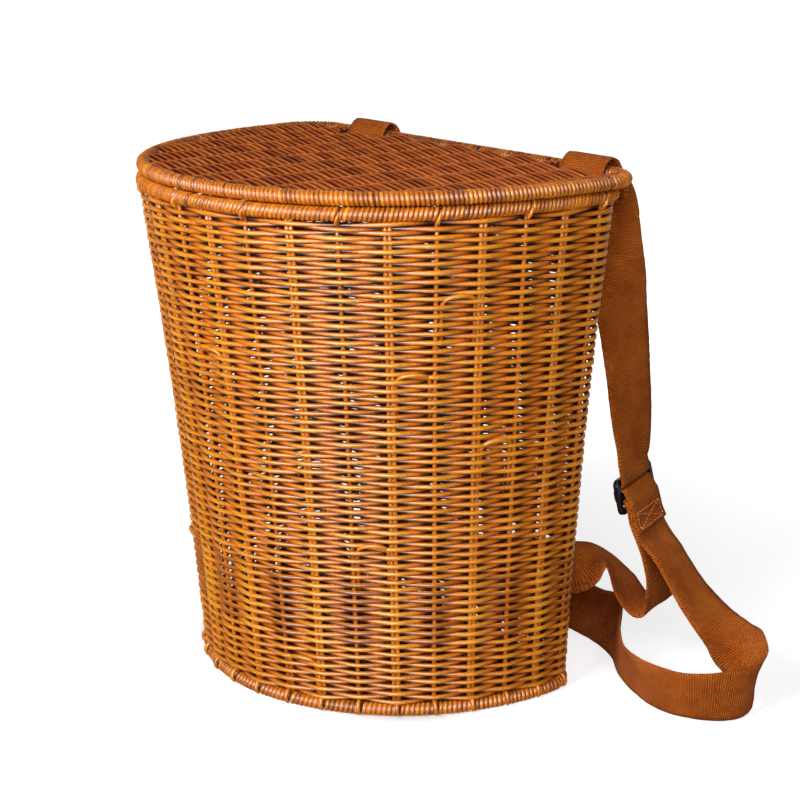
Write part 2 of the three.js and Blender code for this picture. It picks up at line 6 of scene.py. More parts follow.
import bpy
import numpy as np
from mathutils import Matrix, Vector


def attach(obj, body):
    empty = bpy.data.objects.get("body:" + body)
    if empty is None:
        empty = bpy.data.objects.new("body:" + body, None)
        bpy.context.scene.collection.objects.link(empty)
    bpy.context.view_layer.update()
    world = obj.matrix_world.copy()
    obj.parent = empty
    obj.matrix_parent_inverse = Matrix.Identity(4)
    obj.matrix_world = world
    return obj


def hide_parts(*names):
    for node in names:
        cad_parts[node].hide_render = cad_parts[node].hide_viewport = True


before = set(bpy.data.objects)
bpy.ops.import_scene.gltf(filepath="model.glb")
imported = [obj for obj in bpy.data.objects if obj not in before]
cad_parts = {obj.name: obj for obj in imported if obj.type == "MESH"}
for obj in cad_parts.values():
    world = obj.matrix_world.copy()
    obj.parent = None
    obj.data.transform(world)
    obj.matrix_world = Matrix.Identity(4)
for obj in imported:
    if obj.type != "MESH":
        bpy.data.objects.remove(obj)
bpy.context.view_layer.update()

bl_info = {
    "name": "Woven carrying basket",
    "version": (1, 0, 0),
    "blender": (4, 5, 0),
    "location": "3D View > Sidebar > Basket",
    "description": "Builds a half-round woven basket with a hinged lid and webbing straps",
    "category": "Add Mesh",
}

# All lengths below are millimetres in the frame's axes: +Z up, flat back towards +Y.
MM = 0.001
SEED = 11

LID = {"width": 335, "depth": 240, "back": 121, "side": 0.13, "power": 2.2, "corner": 24}
RIM = {"width": 325, "depth": 236, "back": 115, "side": 0.13, "power": 2.2, "corner": 24}
BASE = {"width": 283, "depth": 187, "back": 105.6, "side": 0.16, "power": 1.97, "corner": 24}
LID_HOOP_R = 4.55
RIM_HOOP_R = 4.55
BASE_HOOP_R = 4.4
BASE_Z = 4.4
LID_Z = 345.45
RIM_Z = 336.05
WALL_LOW = 9.1
WALL_HIGH = 331.2
WALL_SAG = 2.5

FRONT_STAKES = 21
BACK_STAKES = 9
FIRST_STAKE = 0.1856
NEXT_STAKE = 0.0323
STAKES = FRONT_STAKES + BACK_STAKES
RIB_PITCH = 31.2

STRAP_X = {"right": 120, "left": -96}
ANCHOR_X = {"right": 91.2, "left": -77.53}
ANCHOR_Z = 74
ANCHOR_DEEP = 6.3
SLOT_HALF = 21
SLOT_LOW = 327
SLOT_CLEAR = 2
LID_SLOT_FRONT = 102.9
SLIT_APART = 14.06
SLIT_HALF = 6.8
SLIT_RISE = 21
WEB_WIDTH = 38
WEB_THICK = 1.5
STITCH = 3.2

LEAST_SIZE = 0.05
LEAST_SIDE = 0.1
CORNER_POINTS = 11
FRONT_POINTS = 91
SHARE_STEP = 0.002
# A strand bends more sharply over a rod than a plain wave does.
WAVE_PEAK = 0.07
ROD_SIDES = 8
# Radians within which a rod's bow and swell start.
START = 6


def linear(hex_colour):
    """An sRGB hex colour as linear red, green, blue and alpha."""
    parts = [int(hex_colour[i:i + 2], 16) / 255 for i in (1, 3, 5)]
    return tuple(c / 12.92 if c <= 0.04045 else ((c + 0.055) / 1.055) ** 2.4 for c in parts) + (1.0,)


def length(name, default, text):
    """A size property, given in millimetres and kept as a length."""
    return bpy.props.FloatProperty(
        name=name, default=default * MM, min=LEAST_SIZE * MM, precision=5, unit="LENGTH", description=text
    )


def colour(name, default, text):
    """A colour property from an sRGB hex value."""
    return bpy.props.FloatVectorProperty(
        name=name, default=linear(default), size=4, min=0, max=1, subtype="COLOR", description=text
    )


class BasketSizes(bpy.types.PropertyGroup):
    """Sizes of strands, wraps and rods."""

    row_pitch: length("Wall row pitch", 2.81, "height of one woven row of the wall")
    strand: length("Wall strand", 3.09, "diameter of the wall's weaving strand")
    stake: length("Stake radius", 1.3, "radius of an upright rod")
    lid_row: length("Lid row pitch", 2.85, "distance between woven rows of the lid")
    lid_strand: length("Lid strand", 2.5, "diameter of the lid's weaving strand")
    base_row: length("Base row pitch", 2.5, "distance between woven rows of the base")
    base_strand: length("Base strand", 2.8, "diameter of the base's weaving strand")
    lid_wrap: length("Lid wrap pitch", 2.9, "distance between turns of strand round the lid's hoop")
    rim_wrap: length("Rim wrap pitch", 2.95, "distance between turns of strand round the rim hoop")
    base_wrap: length("Base wrap pitch", 3.2, "distance between turns of strand round the base hoop")
    wrap_round: length("Wrap height", 1.55, "how far a turn of strand stands above its valleys")
    slider_edge: length("Slider edge", 0.7, "rounding of the slider's moulded edges")


class BasketColours(bpy.types.PropertyGroup):
    """Colours of strands, webbing, slider and floor."""

    # Tones choose among the three wall tints. Painted highlight on crests moves them towards the pale tint, and
    # painted shade on dives, inner sides and valleys moves them towards the dark one.
    straw: colour("Pale strand", "#E29C1E", "lightest strand of the wall")
    honey: colour("Honey strand", "#C46A06", "usual strand of the wall")
    amber: colour("Amber strand", "#300C00", "darkest strand of the wall")
    # The lid's tints are a little redder than the wall's, and darker as painted shade for the lid's top, which the
    # lamps light less.
    lid_pale: colour("Pale lid strand", "#DC843E", "lightest strand of the lid")
    lid_middle: colour("Middle lid strand", "#AA541C", "usual strand of the lid")
    lid_dark: colour("Dark lid strand", "#451403", "darkest strand of the lid")
    web_pale: colour("Webbing crown", "#C66E2A", "raised ribs of the webbing")
    web_dark: colour("Webbing valley", "#8C4014", "valleys between the webbing's ribs")
    thread: colour("Thread", "#CA7832", "sewing thread")
    slider: colour("Slider", "#08080A", "moulded slider")
    floor: colour("Floor", "#CFCFCF", "floor under the basket")


def sizes_mm(context):
    """The sizes in millimetres."""
    group = context.scene.basket_sizes
    return SimpleNamespace(**{name: getattr(group, name) / MM for name in BasketSizes.__annotations__})


def outline(shape, inset):
    """Closed half-round outline from the middle of the back towards +X."""
    half = shape["width"] / 2 - inset
    deep = shape["depth"] - 2 * inset
    back = shape["back"] - inset
    corner = shape["corner"]
    straight = max(shape["side"] * deep, corner + LEAST_SIDE)
    turn = np.linspace(math.pi / 2, 0, CORNER_POINTS)
    bend = np.column_stack([half - corner + corner * np.cos(turn), back - corner + corner * np.sin(turn)])
    turn = np.linspace(0, math.pi / 2, FRONT_POINTS)
    power = 2 / shape["power"]
    across = half * np.maximum(np.cos(turn), 0) ** power
    front = np.column_stack([across, back - straight - (deep - straight) * np.sin(turn) ** power])
    right = np.vstack([[0, back], bend, front])
    return np.vstack([right, right[-2:0:-1] * (-1, 1)])


class Loop:
    """An outline that gives places and outward directions at shares of its length."""

    def __init__(self, shape, inset):
        points = outline(shape, inset)
        self.closed = np.vstack([points, points[:1]])
        steps = np.linalg.norm(np.diff(self.closed, axis=0), axis=1)
        self.length = steps.sum()
        self.reach = np.concatenate([[0], np.cumsum(steps)]) / self.length

    def place(self, share):
        """Places at shares of the outline's length."""
        share = np.asarray(share, float) % 1.0
        x = np.interp(share, self.reach, self.closed[:, 0])
        return np.stack([x, np.interp(share, self.reach, self.closed[:, 1])], -1)

    def out(self, share):
        """Outward directions at shares of the outline's length."""
        share = np.asarray(share)
        way = self.place(share + SHARE_STEP) - self.place(share - SHARE_STEP)
        way /= np.linalg.norm(way, axis=-1, keepdims=True)
        return np.stack([-way[..., 1], way[..., 0]], -1)

    def span(self, x):
        """Front and back limits of the outline at one place across."""
        a, b = self.closed[:-1], self.closed[1:]
        hit = ((a[:, 0] - x) * (b[:, 0] - x) <= 0) & (a[:, 0] != b[:, 0])
        part = (x - a[hit, 0]) / (b[hit, 0] - a[hit, 0])
        y = a[hit, 1] + part * (b[hit, 1] - a[hit, 1])
        return y.min(), y.max()

    def width(self, y):
        """Half the width of the outline at one place from front to back."""
        a, b = self.closed[:-1], self.closed[1:]
        hit = ((a[:, 1] - y) * (b[:, 1] - y) <= 0) & (a[:, 1] != b[:, 1])
        part = (y - a[hit, 1]) / (b[hit, 1] - a[hit, 1])
        return np.abs(a[hit, 0] + part * (b[hit, 0] - a[hit, 0])).max()


WALL_FOOT = Loop(BASE, BASE_HOOP_R)
WALL_HEAD = Loop(RIM, RIM_HOOP_R)
LID_LOOP = Loop(LID, LID_HOOP_R)


def stake_shares():
    """Where each stake stands round the wall; the first comes again at the end."""
    front = FIRST_STAKE + NEXT_STAKE * np.arange(FRONT_STAKES)
    pitch = (1 + FIRST_STAKE - front[-1]) / (BACK_STAKES + 1)
    back = front[-1] + pitch * np.arange(1, BACK_STAKES + 1)
    return np.concatenate([front, back, [FIRST_STAKE + 1]])


def wall_share(phase):
    """Share of the wall's length at a place counted in stakes."""
    turns = np.floor(np.asarray(phase, float) / STAKES)
    return turns + np.interp(phase - turns * STAKES, np.arange(STAKES + 1), stake_shares())


def wall_point(share, z, offset, aside=0.0):
    """Place on the wall: offset is outwards from its middle surface and aside runs along it."""
    share, z, offset, aside = np.broadcast_arrays(share, z, offset, aside)
    rise = ((z - BASE_Z) / (RIM_Z - BASE_Z))[..., None]
    middle = WALL_FOOT.place(share) * (1 - rise) + WALL_HEAD.place(share) * rise
    out = WALL_FOOT.out(share) * (1 - rise) + WALL_HEAD.out(share) * rise
    out /= np.linalg.norm(out, axis=-1, keepdims=True)
    along = np.stack([out[..., 1], -out[..., 0]], -1)
    flat = middle + out * (offset[..., None] - WALL_SAG * 4 * rise * (1 - rise)) + along * aside[..., None]
    return np.concatenate([flat, z[..., None]], -1)


def over_under(phase):
    """Wave of a strand that passes in front of one rod and behind the next."""
    return (np.cos(math.pi * phase) + WAVE_PEAK * np.cos(3 * math.pi * phase)) / (1 + WAVE_PEAK)


class Strands:
    """Collects strands into one mesh and notes each point's place along, around and tone."""

    def __init__(self):
        self.points = []
        self.marks = []
        self.faces = []
        self.count = 0

    def grid(self, points, marks, closed):
        """Adds a net of points: rings along a strand, each ring closed round it."""
        rings, sides = points.shape[:2]
        number = self.count + np.arange(rings * sides).reshape(rings, sides)
        ahead = np.roll(number, -1, axis=0)
        beside = np.roll(number, -1, axis=1)
        corner = np.roll(ahead, -1, axis=1)
        quads = np.stack([number, beside, corner, ahead], -1)
        ends = []
        if not closed:
            quads = quads[:-1]
            ends = [number[0, ::-1].tolist(), number[-1].tolist()]
        self.faces.extend(quads.reshape(-1, 4).tolist() + ends)
        self.points.append(points.reshape(-1, 3))
        self.marks.append(marks.reshape(-1, 3))
        self.count += rings * sides

    def strand(self, path, radius, tone, sides=6, closed=False, up=(0, 0, 1), inner=None, valley=0.0):
        """Adds one round strand; its inner side may take its own tone as a painted shade, and the edges where it
        lies against its neighbours may take a painted shade.
        """
        path = np.asarray(path, float)
        radius = np.broadcast_to(np.asarray(radius, float), len(path))
        if closed:
            way = np.roll(path, -1, axis=0) - np.roll(path, 1, axis=0)
        else:
            way = np.gradient(path, axis=0)
        way /= np.linalg.norm(way, axis=1, keepdims=True)
        side = np.cross(way, np.broadcast_to(up, way.shape))
        side /= np.linalg.norm(side, axis=1, keepdims=True)
        top = np.cross(side, way)
        turn = (np.arange(sides) + 0.5) / sides * 2 * math.pi
        ring = np.cos(turn)[None, :, None] * side[:, None] + np.sin(turn)[None, :, None] * top[:, None]
        points = path[:, None] + radius[:, None, None] * ring
        step = np.linalg.norm(np.diff(path, axis=0), axis=1)
        along = np.concatenate([[0], np.cumsum(step)])
        marks = np.zeros(points.shape)
        marks[..., 0] = along[:, None]
        marks[..., 1] = turn[None] / (2 * math.pi)
        tone = np.broadcast_to(np.asarray(tone, float), len(path))[:, None]
        facing = 0.0 if inner is None else np.clip(np.cos(turn), 0, 1)[None]
        marks[..., 2] = tone + facing * ((inner or 0.0) - tone) - valley * np.sin(turn)[None] ** 4
        self.grid(points, marks, closed)

    def piece(self, name, material, body, slot, nodes=()):
        """Turns the strands into a piece that rides on a body."""
        if not self.count:
            raise RuntimeError(name + " has no strands")
        mesh = bpy.data.meshes.new(name)
        points = np.vstack(self.points) * MM
        mesh.from_pydata(points.tolist(), [], self.faces)
        mesh.polygons.foreach_set("use_smooth", np.ones(len(mesh.polygons), bool))
        marks = mesh.attributes.new("strand", "FLOAT_VECTOR", "POINT")
        marks.data.foreach_set("vector", np.vstack(self.marks).astype(np.float32).ravel())
        mesh.update()
        return show(bpy.data.objects.new(name, mesh), material, body, nodes)


def show(piece, material, body, nodes):
    """Links a piece to the scene with its material, body and the nodes it stands for."""
    bpy.context.collection.objects.link(piece)
    piece.data.materials.clear()
    piece.data.materials.append(material)
    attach(piece, body)
    if nodes:
        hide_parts(*nodes)
    return piece


def add_node(tree, kind, settings, **links):
    """Adds a node; each link is an input's name, or in_ and its number, and an output or a value."""
    made = tree.nodes.new("ShaderNode" + kind)
    for name, value in settings.items():
        setattr(made, name, value)
    for name, value in links.items():
        socket = made.inputs[int(name[3:])] if name.startswith("in_") else made.inputs[name.replace("_", " ")]
        if isinstance(value, bpy.types.NodeSocket):
            tree.links.new(value, socket)
        else:
            socket.default_value = value
    return made


def new_material(name, **constants):
    """A material with its shader, whose constant sockets are set here."""
    material = bpy.data.materials.new(name)
    material.use_nodes = True
    shader = material.node_tree.nodes["Principled BSDF"]
    for socket, value in constants.items():
        shader.inputs[socket.replace("_", " ")].default_value = value
    return material, material.node_tree, shader


# Noise for each millimetre along a strand and each turn round it; the third number parts strands by tone.
FIBRE_SCALE = (0.085, 5.0, 61.0)
PATCH_SCALE = (0.011, 0.4, 23.0)
# How far the noise shifts a strand's tone, and the tones that take the three colours.
FIBRE_LIFT = 0.32
PATCH_SWAY = 0.28
DARK_TONE = 0.05
MIDDLE_TONE = 0.5
PALE_TONE = 0.95


def wicker(name, dark, middle, pale, shine, smooth, rough):
    """Peeled and varnished wicker: fibres run along each strand, strands differ a little in tone,
    and the varnish gives a bright soft shine along each crest."""
    material, tree, shader = new_material(name, IOR=1.52, Specular_IOR_Level=shine)
    mark = add_node(tree, "Attribute", {"attribute_name": "strand"}).outputs["Vector"]
    place = add_node(tree, "SeparateXYZ", {}, Vector=mark)
    # Fibre streaks are about 12 mm long and a fifth of a strand's girth wide.
    stretch = add_node(tree, "VectorMath", {"operation": "MULTIPLY"}, in_0=mark, in_1=FIBRE_SCALE)
    fibre = add_node(tree, "TexNoise", {}, Vector=stretch.outputs[0], Scale=1.0, Detail=3.0, Roughness=0.6)
    # Broad patches of sun and shade on the cane are about 90 mm long.
    drift = add_node(tree, "VectorMath", {"operation": "MULTIPLY"}, in_0=mark, in_1=PATCH_SCALE)
    patch = add_node(tree, "TexNoise", {}, Vector=drift.outputs[0], Scale=1.0, Detail=1.0)
    tone = place.outputs["Z"]
    for noise, strength in ((fibre, FIBRE_LIFT), (patch, PATCH_SWAY)):
        shift = add_node(
            tree, "Math", {"operation": "MULTIPLY_ADD"}, in_0=noise.outputs["Fac"],
            in_1=strength, in_2=-strength / 2,
        )
        tone = add_node(tree, "Math", {"operation": "ADD"}, in_0=tone, in_1=shift.outputs[0]).outputs[0]
    low = add_node(tree, "MapRange", {}, Value=tone, From_Min=DARK_TONE, From_Max=MIDDLE_TONE)
    high = add_node(tree, "MapRange", {}, Value=tone, From_Min=MIDDLE_TONE, From_Max=PALE_TONE)
    tint = add_node(tree, "Mix", {"data_type": "RGBA"}, in_0=low.outputs[0], in_6=dark, in_7=middle)
    tint = add_node(tree, "Mix", {"data_type": "RGBA"}, in_0=high.outputs[0], in_6=tint.outputs[2], in_7=pale)
    tree.links.new(tint.outputs[2], shader.inputs["Base Color"])
    gloss = add_node(tree, "MapRange", {}, Value=fibre.outputs["Fac"], To_Min=smooth, To_Max=rough)
    tree.links.new(gloss.outputs[0], shader.inputs["Roughness"])
    bump = add_node(tree, "Bump", {}, Strength=0.25, Distance=0.2 * MM, Height=fibre.outputs["Fac"])
    tree.links.new(bump.outputs[0], shader.inputs["Normal"])
    return material


def wall_wicker(context):
    """The wall's and the hoops' varnished wicker, made once."""
    tints = context.scene.basket_colours
    made = bpy.data.materials.get("varnished_wicker")
    return made or wicker(
        "varnished_wicker", tints.amber, tints.honey, tints.straw, shine=0.07, smooth=0.36, rough=0.48
    )


def lid_wicker(context):
    """The lid's wicker, made once: a little redder than the wall's, darker as painted shade for a top that the
    lamps light less, and duller.
    """
    tints = context.scene.basket_colours
    made = bpy.data.materials.get("shaded_lid_wicker")
    return made or wicker(
        "shaded_lid_wicker", tints.lid_dark, tints.lid_middle, tints.lid_pale, shine=0.02, smooth=0.4, rough=0.6
    )


# Real ribs lie about 1.2 mm apart; they are drawn at 1.5 mm to show. Warp threads and dye patches in mm too.
RIB_APART = 1.5
WARP_APART = 1.5
DYE_PATCH = 25
# How strongly the warp shows beside the ribs, and how the weave shifts the dye's shade.
WARP_SHARE = 0.35
WEAVE_SHADE = 0.15
SHADE_SHIFT = -0.04


def webbing(context):
    """Ribbed woven cotton webbing: raised cross ribs, a dull fuzz and slightly uneven dye."""
    if bpy.data.materials.get("woven_webbing"):
        return bpy.data.materials["woven_webbing"]
    tints = context.scene.basket_colours
    material, tree, shader = new_material(
        "woven_webbing", Roughness=0.75, Sheen_Weight=0.03, Sheen_Roughness=0.4, Specular_IOR_Level=0.0
    )
    mark = add_node(tree, "Attribute", {"attribute_name": "strand"}).outputs["Vector"]
    place = add_node(tree, "SeparateXYZ", {}, Vector=mark)
    waves = []
    for way, apart in ((place.outputs["X"], RIB_APART), (place.outputs["Y"], WARP_APART)):
        turn = add_node(tree, "Math", {"operation": "MULTIPLY"}, in_0=way, in_1=2 * math.pi / apart)
        waves.append(add_node(tree, "Math", {"operation": "SINE"}, in_0=turn.outputs[0]).outputs[0])
    rib, warp = waves
    weave = add_node(tree, "Math", {"operation": "MULTIPLY_ADD"}, in_0=warp, in_1=WARP_SHARE, in_2=rib)
    dye = add_node(tree, "TexNoise", {}, Vector=mark, Scale=1 / DYE_PATCH, Detail=4.0, Roughness=0.65)
    shade = add_node(
        tree, "Math", {"operation": "MULTIPLY_ADD"}, in_0=weave.outputs[0], in_1=WEAVE_SHADE, in_2=SHADE_SHIFT
    )
    shade = add_node(tree, "Math", {"operation": "ADD"}, in_0=shade.outputs[0], in_1=dye.outputs["Fac"])
    shade = add_node(tree, "MapRange", {}, Value=shade.outputs[0], From_Min=0.2, From_Max=0.8)
    tint = add_node(
        tree, "Mix", {"data_type": "RGBA"}, in_0=shade.outputs[0], in_6=tints.web_dark, in_7=tints.web_pale
    )
    tree.links.new(tint.outputs[2], shader.inputs["Base Color"])
    bump = add_node(tree, "Bump", {}, Strength=0.6, Distance=0.4 * MM, Height=weave.outputs[0])
    tree.links.new(bump.outputs[0], shader.inputs["Normal"])
    return material


# Flow mottle of the moulding, about 4 mm across.
MOTTLE = 4


def moulded_acetal(context):
    """Injection-moulded black acetal: glossy with a faint flow mottle."""
    if bpy.data.materials.get("moulded_acetal"):
        return bpy.data.materials["moulded_acetal"]
    tint = context.scene.basket_colours.slider
    material, tree, shader = new_material(
        "moulded_acetal", Base_Color=tint, IOR=1.48, Specular_IOR_Level=0.08
    )
    where = add_node(tree, "TexCoord", {}).outputs["Object"]
    flow = add_node(tree, "TexNoise", {}, Vector=where, Scale=1 / (MOTTLE * MM), Detail=2.0)
    rough = add_node(tree, "MapRange", {}, Value=flow.outputs["Fac"], To_Min=0.22, To_Max=0.38)
    tree.links.new(rough.outputs[0], shader.inputs["Roughness"])
    bump = add_node(tree, "Bump", {}, Strength=0.1, Distance=0.1 * MM, Height=flow.outputs["Fac"])
    tree.links.new(bump.outputs[0], shader.inputs["Normal"])
    return material


# Radians for each millimetre along the thread and each turn round it: one twist to each 0.8 mm.
TWIST = (7.85, 6.28, 0.0)


def sewing_thread(context):
    """Twisted polyester thread: dull, with a fine twist along each stitch."""
    if bpy.data.materials.get("twisted_thread"):
        return bpy.data.materials["twisted_thread"]
    tint = context.scene.basket_colours.thread
    material, tree, shader = new_material(
        "twisted_thread", Base_Color=tint, Roughness=0.6, Specular_IOR_Level=0.05
    )
    mark = add_node(tree, "Attribute", {"attribute_name": "strand"}).outputs["Vector"]
    twist = add_node(tree, "VectorMath", {"operation": "DOT_PRODUCT"}, in_0=mark, in_1=TWIST)
    ridge = add_node(tree, "Math", {"operation": "SINE"}, in_0=twist.outputs["Value"])
    bump = add_node(tree, "Bump", {}, Strength=0.4, Distance=0.1 * MM, Height=ridge.outputs[0])
    tree.links.new(bump.outputs[0], shader.inputs["Normal"])
    return material


# Wall weave

WALL_STEPS = 8
# How deep a strand presses into its stake, and how far a bent-back strand stands out.
PRESSED_IN = 0.2
BEND_OUT = 1.6
BEND_SHARE = 0.65
# Depth from the back within which a point counts as on the flat back.
BACK_ZONE = 22
BACK_SWELL = 0.13
BACK_SWELL_FROM = 40
BACK_SWELL_OVER = 20
# Rows wander, most of all the last ones under the rim, and strands differ in reach and girth.
ROW_SWAY = 0.11
SWAY_WAVES = (3, 7, 13)
LOOSE_ROWS = 5
LOOSENESS = 3.0
ROW_CROWDING = 0.025
REACH_SPREAD = 0.05
GIRTH_SPREAD = 0.045
GIRTH_SWAY = 0.05
GIRTH_WAVES = 5
# Tones: spread from strand to strand, painted highlight on crests, painted shade on dives, on the inside of the
# wall and on cut strands' inner sides, and painted shade in the valleys.
TONE_SPREAD = 0.07
TONE_LIMITS = (0.2, 0.8)
CREST_HIGHLIGHT = 0.28
DIVE_SHADE = 0.3
DIVE_FROM = 0.1
INSIDE_SHADE = 0.3
CUT_INSIDE_SHADE = 0.2
WALL_VALLEY_SHADE = 0.35
# A strand's end bridges two stakes and runs down beside both: the first stake's number and the bridge's height.
STRAND_ENDS = [
    (3, 283), (4, 234), (2, 187), (7, 36), (5, 120), (9, 240), (12, 90), (14, 205), (17, 150), (19, 60),
    (22, 230), (25, 140), (28, 200),
]
# A strand end's radius, its tone, and the painted highlight it takes where it stands out from the wall.
END_RADIUS = 1.35
END_TONE = 0.4
END_CREST_HIGHLIGHT = 0.2
# Along the bridge: stakes from the first one, height over the bridge's foot, share of the way outwards.
BRIDGE = [
    (0.12, -30, 0.0), (0.12, -18, 0.0), (0.12, -7, 0.0), (0.13, -3.4, 0.35), (0.17, -0.8, 0.9),
    (0.26, 0.8, 1.3), (0.38, 1.6, 1.55), (0.5, 1.9, 1.6), (0.62, 1.6, 1.55), (0.74, 0.8, 1.3),
    (0.83, -0.8, 0.9), (0.87, -3.4, 0.35), (0.88, -7, 0.0), (0.88, -18, 0.0), (0.88, -30, 0.0),
]
# Stakes: points along a rod, spread and girth of pairs and singles, and how a rod bows and swells.
STAKE_POINTS = 24
STAKE_FOOT = 2
STAKE_HEAD = 2.5
STAKE_UNDER_SLOT = 1
STAKE_SLOT_CLEAR = 5
PAIR_APART = 1.1
PAIR_GIRTH = 1.1
SINGLE_GIRTH = 1.15
STAKE_BOW = 0.12
STAKE_BOW_LONG = 37
ROD_SWELL = 0.04
STAKE_SWELL_LONG = 19
ROD_TONES = (0.3, 0.7)


def back_cut(points, centre, half):
    """Which points of the back wall lie within half a cut's width of its centre."""
    return (points[:, 1] > RIM["back"] - BACK_ZONE) & (np.abs(points[:, 0] - centre) < half)


def runs(keep):
    """Unbroken runs of kept places on a closed row, as lists of places."""
    start = int(np.argmin(keep))
    order = np.roll(np.arange(len(keep)), -start)
    found = []
    for place in order:
        if keep[place] and (not found or found[-1][-1] is None):
            found.append([place])
        elif keep[place]:
            found[-1].append(place)
        elif found and found[-1][-1] is not None:
            found[-1].append(None)
    return [[p for p in run if p is not None] for run in found]


def turn_back(upper, lower):
    """One closed strand from two rows that turn back into each other at both ends."""
    def bend(a, b, way):
        middle = (a[-1] + b[-1]) / 2
        middle[:3] += way[:3] / np.linalg.norm(way[:3]) * BEND_OUT
        near, far = ((end[-1] * (1 - BEND_SHARE) + middle * BEND_SHARE) for end in (a, b))
        return [near, middle, far]

    far = bend(upper, lower, upper[-1] - upper[-2])
    near = bend(lower[::-1], upper[::-1], upper[0] - upper[1])
    return np.vstack([upper, far, lower[::-1], near])


def weave_wall(context):
    """Lays the wall row by row; rows turn back where the webbing passes through."""
    sizes = sizes_mm(context)
    rng = np.random.default_rng(SEED)
    rows = round((WALL_HIGH - WALL_LOW) / sizes.row_pitch)
    pitch = (WALL_HIGH - WALL_LOW) / rows
    wave = sizes.stake + sizes.strand / 2 - PRESSED_IN
    phase = np.arange(STAKES * WALL_STEPS) / WALL_STEPS
    round_wall = 2 * math.pi * phase
    share = wall_share(phase)
    slits = [x + way * SLIT_APART for x in ANCHOR_X.values() for way in (-1, 1)]
    woven = Strands()
    waiting = None

    # Cut rows, like whole ones, take a painted shade on their inner side and in the valleys along their edges.
    def lay_cut(path, closed=False, valley=WALL_VALLEY_SHADE):
        tone = path[:, 3]
        woven.strand(path[:, :3], sizes.strand / 2, tone, closed=closed, inner=CUT_INSIDE_SHADE, valley=valley)

    for row in range(rows):
        loose = 1.0 + LOOSENESS * max(0.0, (row - rows + LOOSE_ROWS) / LOOSE_ROWS)
        side = 1 if row % 2 else -1
        rise = (row + 0.5) / rows
        # Rows lie a little closer towards the top.
        z = WALL_LOW + (WALL_HIGH - WALL_LOW) * (rise + ROW_CROWDING * rise * (1 - rise))
        roll = rng.uniform(0, 2 * math.pi, 3)
        swing = sum(np.sin(round_wall * k / STAKES + r) for k, r in zip(SWAY_WAVES, roll))
        height = z + ROW_SWAY * loose * swing
        reach = side * wave * over_under(phase) * (1 + REACH_SPREAD * rng.standard_normal())
        points = wall_point(share, height, reach)
        size = sizes.strand / 2 * (1 + GIRTH_SPREAD * rng.standard_normal())
        size = size * (1 + GIRTH_SWAY * np.sin(round_wall * GIRTH_WAVES / STAKES + roll[0]))
        # The flat back is beaten down more closely than the front.
        behind = (points[:, 1] - RIM["back"] + BACK_SWELL_FROM) / BACK_SWELL_OVER
        size = size * (1 + BACK_SWELL * np.clip(behind, 0, 1))
        # Crests take a painted highlight, and the parts that dive behind a stake take a painted shade.
        dive = reach / wave
        level = np.clip(MIDDLE_TONE + TONE_SPREAD * rng.standard_normal(), *TONE_LIMITS)
        tone = level + CREST_HIGHLIGHT * dive - DIVE_SHADE * np.clip(-dive - DIVE_FROM, 0, 1)
        keep = np.ones(len(phase), bool)
        if z + sizes.strand / 2 > SLOT_LOW + SLOT_CLEAR:
            for x in STRAP_X.values():
                keep &= ~back_cut(points, x, SLOT_HALF)
        split = abs(z - ANCHOR_Z) < SLIT_RISE + pitch
        if waiting and not split:
            for part in waiting:
                lay_cut(part)
            waiting = None
        if split:
            for x in slits:
                keep &= ~back_cut(points, x, SLIT_HALF)
        if keep.all():
            woven.strand(points, size, tone, closed=True, inner=level - INSIDE_SHADE, valley=WALL_VALLEY_SHADE)
            continue
        parts = [np.column_stack([points, tone])[run] for run in runs(keep)]
        if not split:
            for part in parts:
                lay_cut(part)
        elif waiting is None:
            waiting = parts
        else:
            for lower, upper in zip(waiting, parts):
                lay_cut(turn_back(lower, upper), closed=True, valley=0.0)
            waiting = None
    along, rise, out = np.array(BRIDGE).T
    for stake, z in STRAND_ENDS:
        path = wall_point(wall_share(stake + along), z + rise, wave * out)
        facing = WALL_HEAD.out(wall_share(stake + 0.5))
        woven.strand(path, END_RADIUS, END_TONE + END_CREST_HIGHLIGHT * out, sides=ROD_SIDES, up=(*facing, 0))
    return woven.piece("wall_weave", wall_wicker(context), "basket", "strand", ["woven_wall"])


def stand_stakes(context):
    """Stands single rods and pairs of rods in turn; those under a webbing loop end lower."""
    sizes = sizes_mm(context)
    rng = np.random.default_rng(SEED + 1)
    for number, share in enumerate(stake_shares()[:-1]):
        head = wall_point(share, WALL_HIGH, 0.0)
        under = any(back_cut(head[None], x, SLOT_HALF + STAKE_SLOT_CLEAR)[0] for x in STRAP_X.values())
        top = SLOT_LOW - STAKE_UNDER_SLOT if under else RIM_Z - STAKE_HEAD
        z = np.linspace(BASE_Z + STAKE_FOOT, top, STAKE_POINTS)
        pair = number % 2 == 1
        rods = Strands()
        for aside in (-PAIR_APART * sizes.stake, PAIR_APART * sizes.stake) if pair else (0.0,):
            bow = STAKE_BOW * np.sin(z / STAKE_BOW_LONG + rng.uniform(0, START))
            swell = 1 + ROD_SWELL * np.sin(z / STAKE_SWELL_LONG + rng.uniform(0, START))
            girth = sizes.stake * (PAIR_GIRTH if pair else SINGLE_GIRTH) * swell
            path = wall_point(share, z, 0.0, aside + bow)
            rods.strand(path, girth, rng.uniform(*ROD_TONES), sides=ROD_SIDES, up=(*WALL_HEAD.out(share), 0))
        node = f"stake_{number + 1:02d}"
        rods.piece(node + "_rod", wall_wicker(context), "basket", "strand", [node])


# Wrapped hoops

RINGS_PER_TURN = 8
HOOP_SIDES = 16
# How far round each turn's section reaches into its valleys, and what numbers apart the turns of two runs.
WRAP_FLANK = 0.985
RUN_STEP = 97
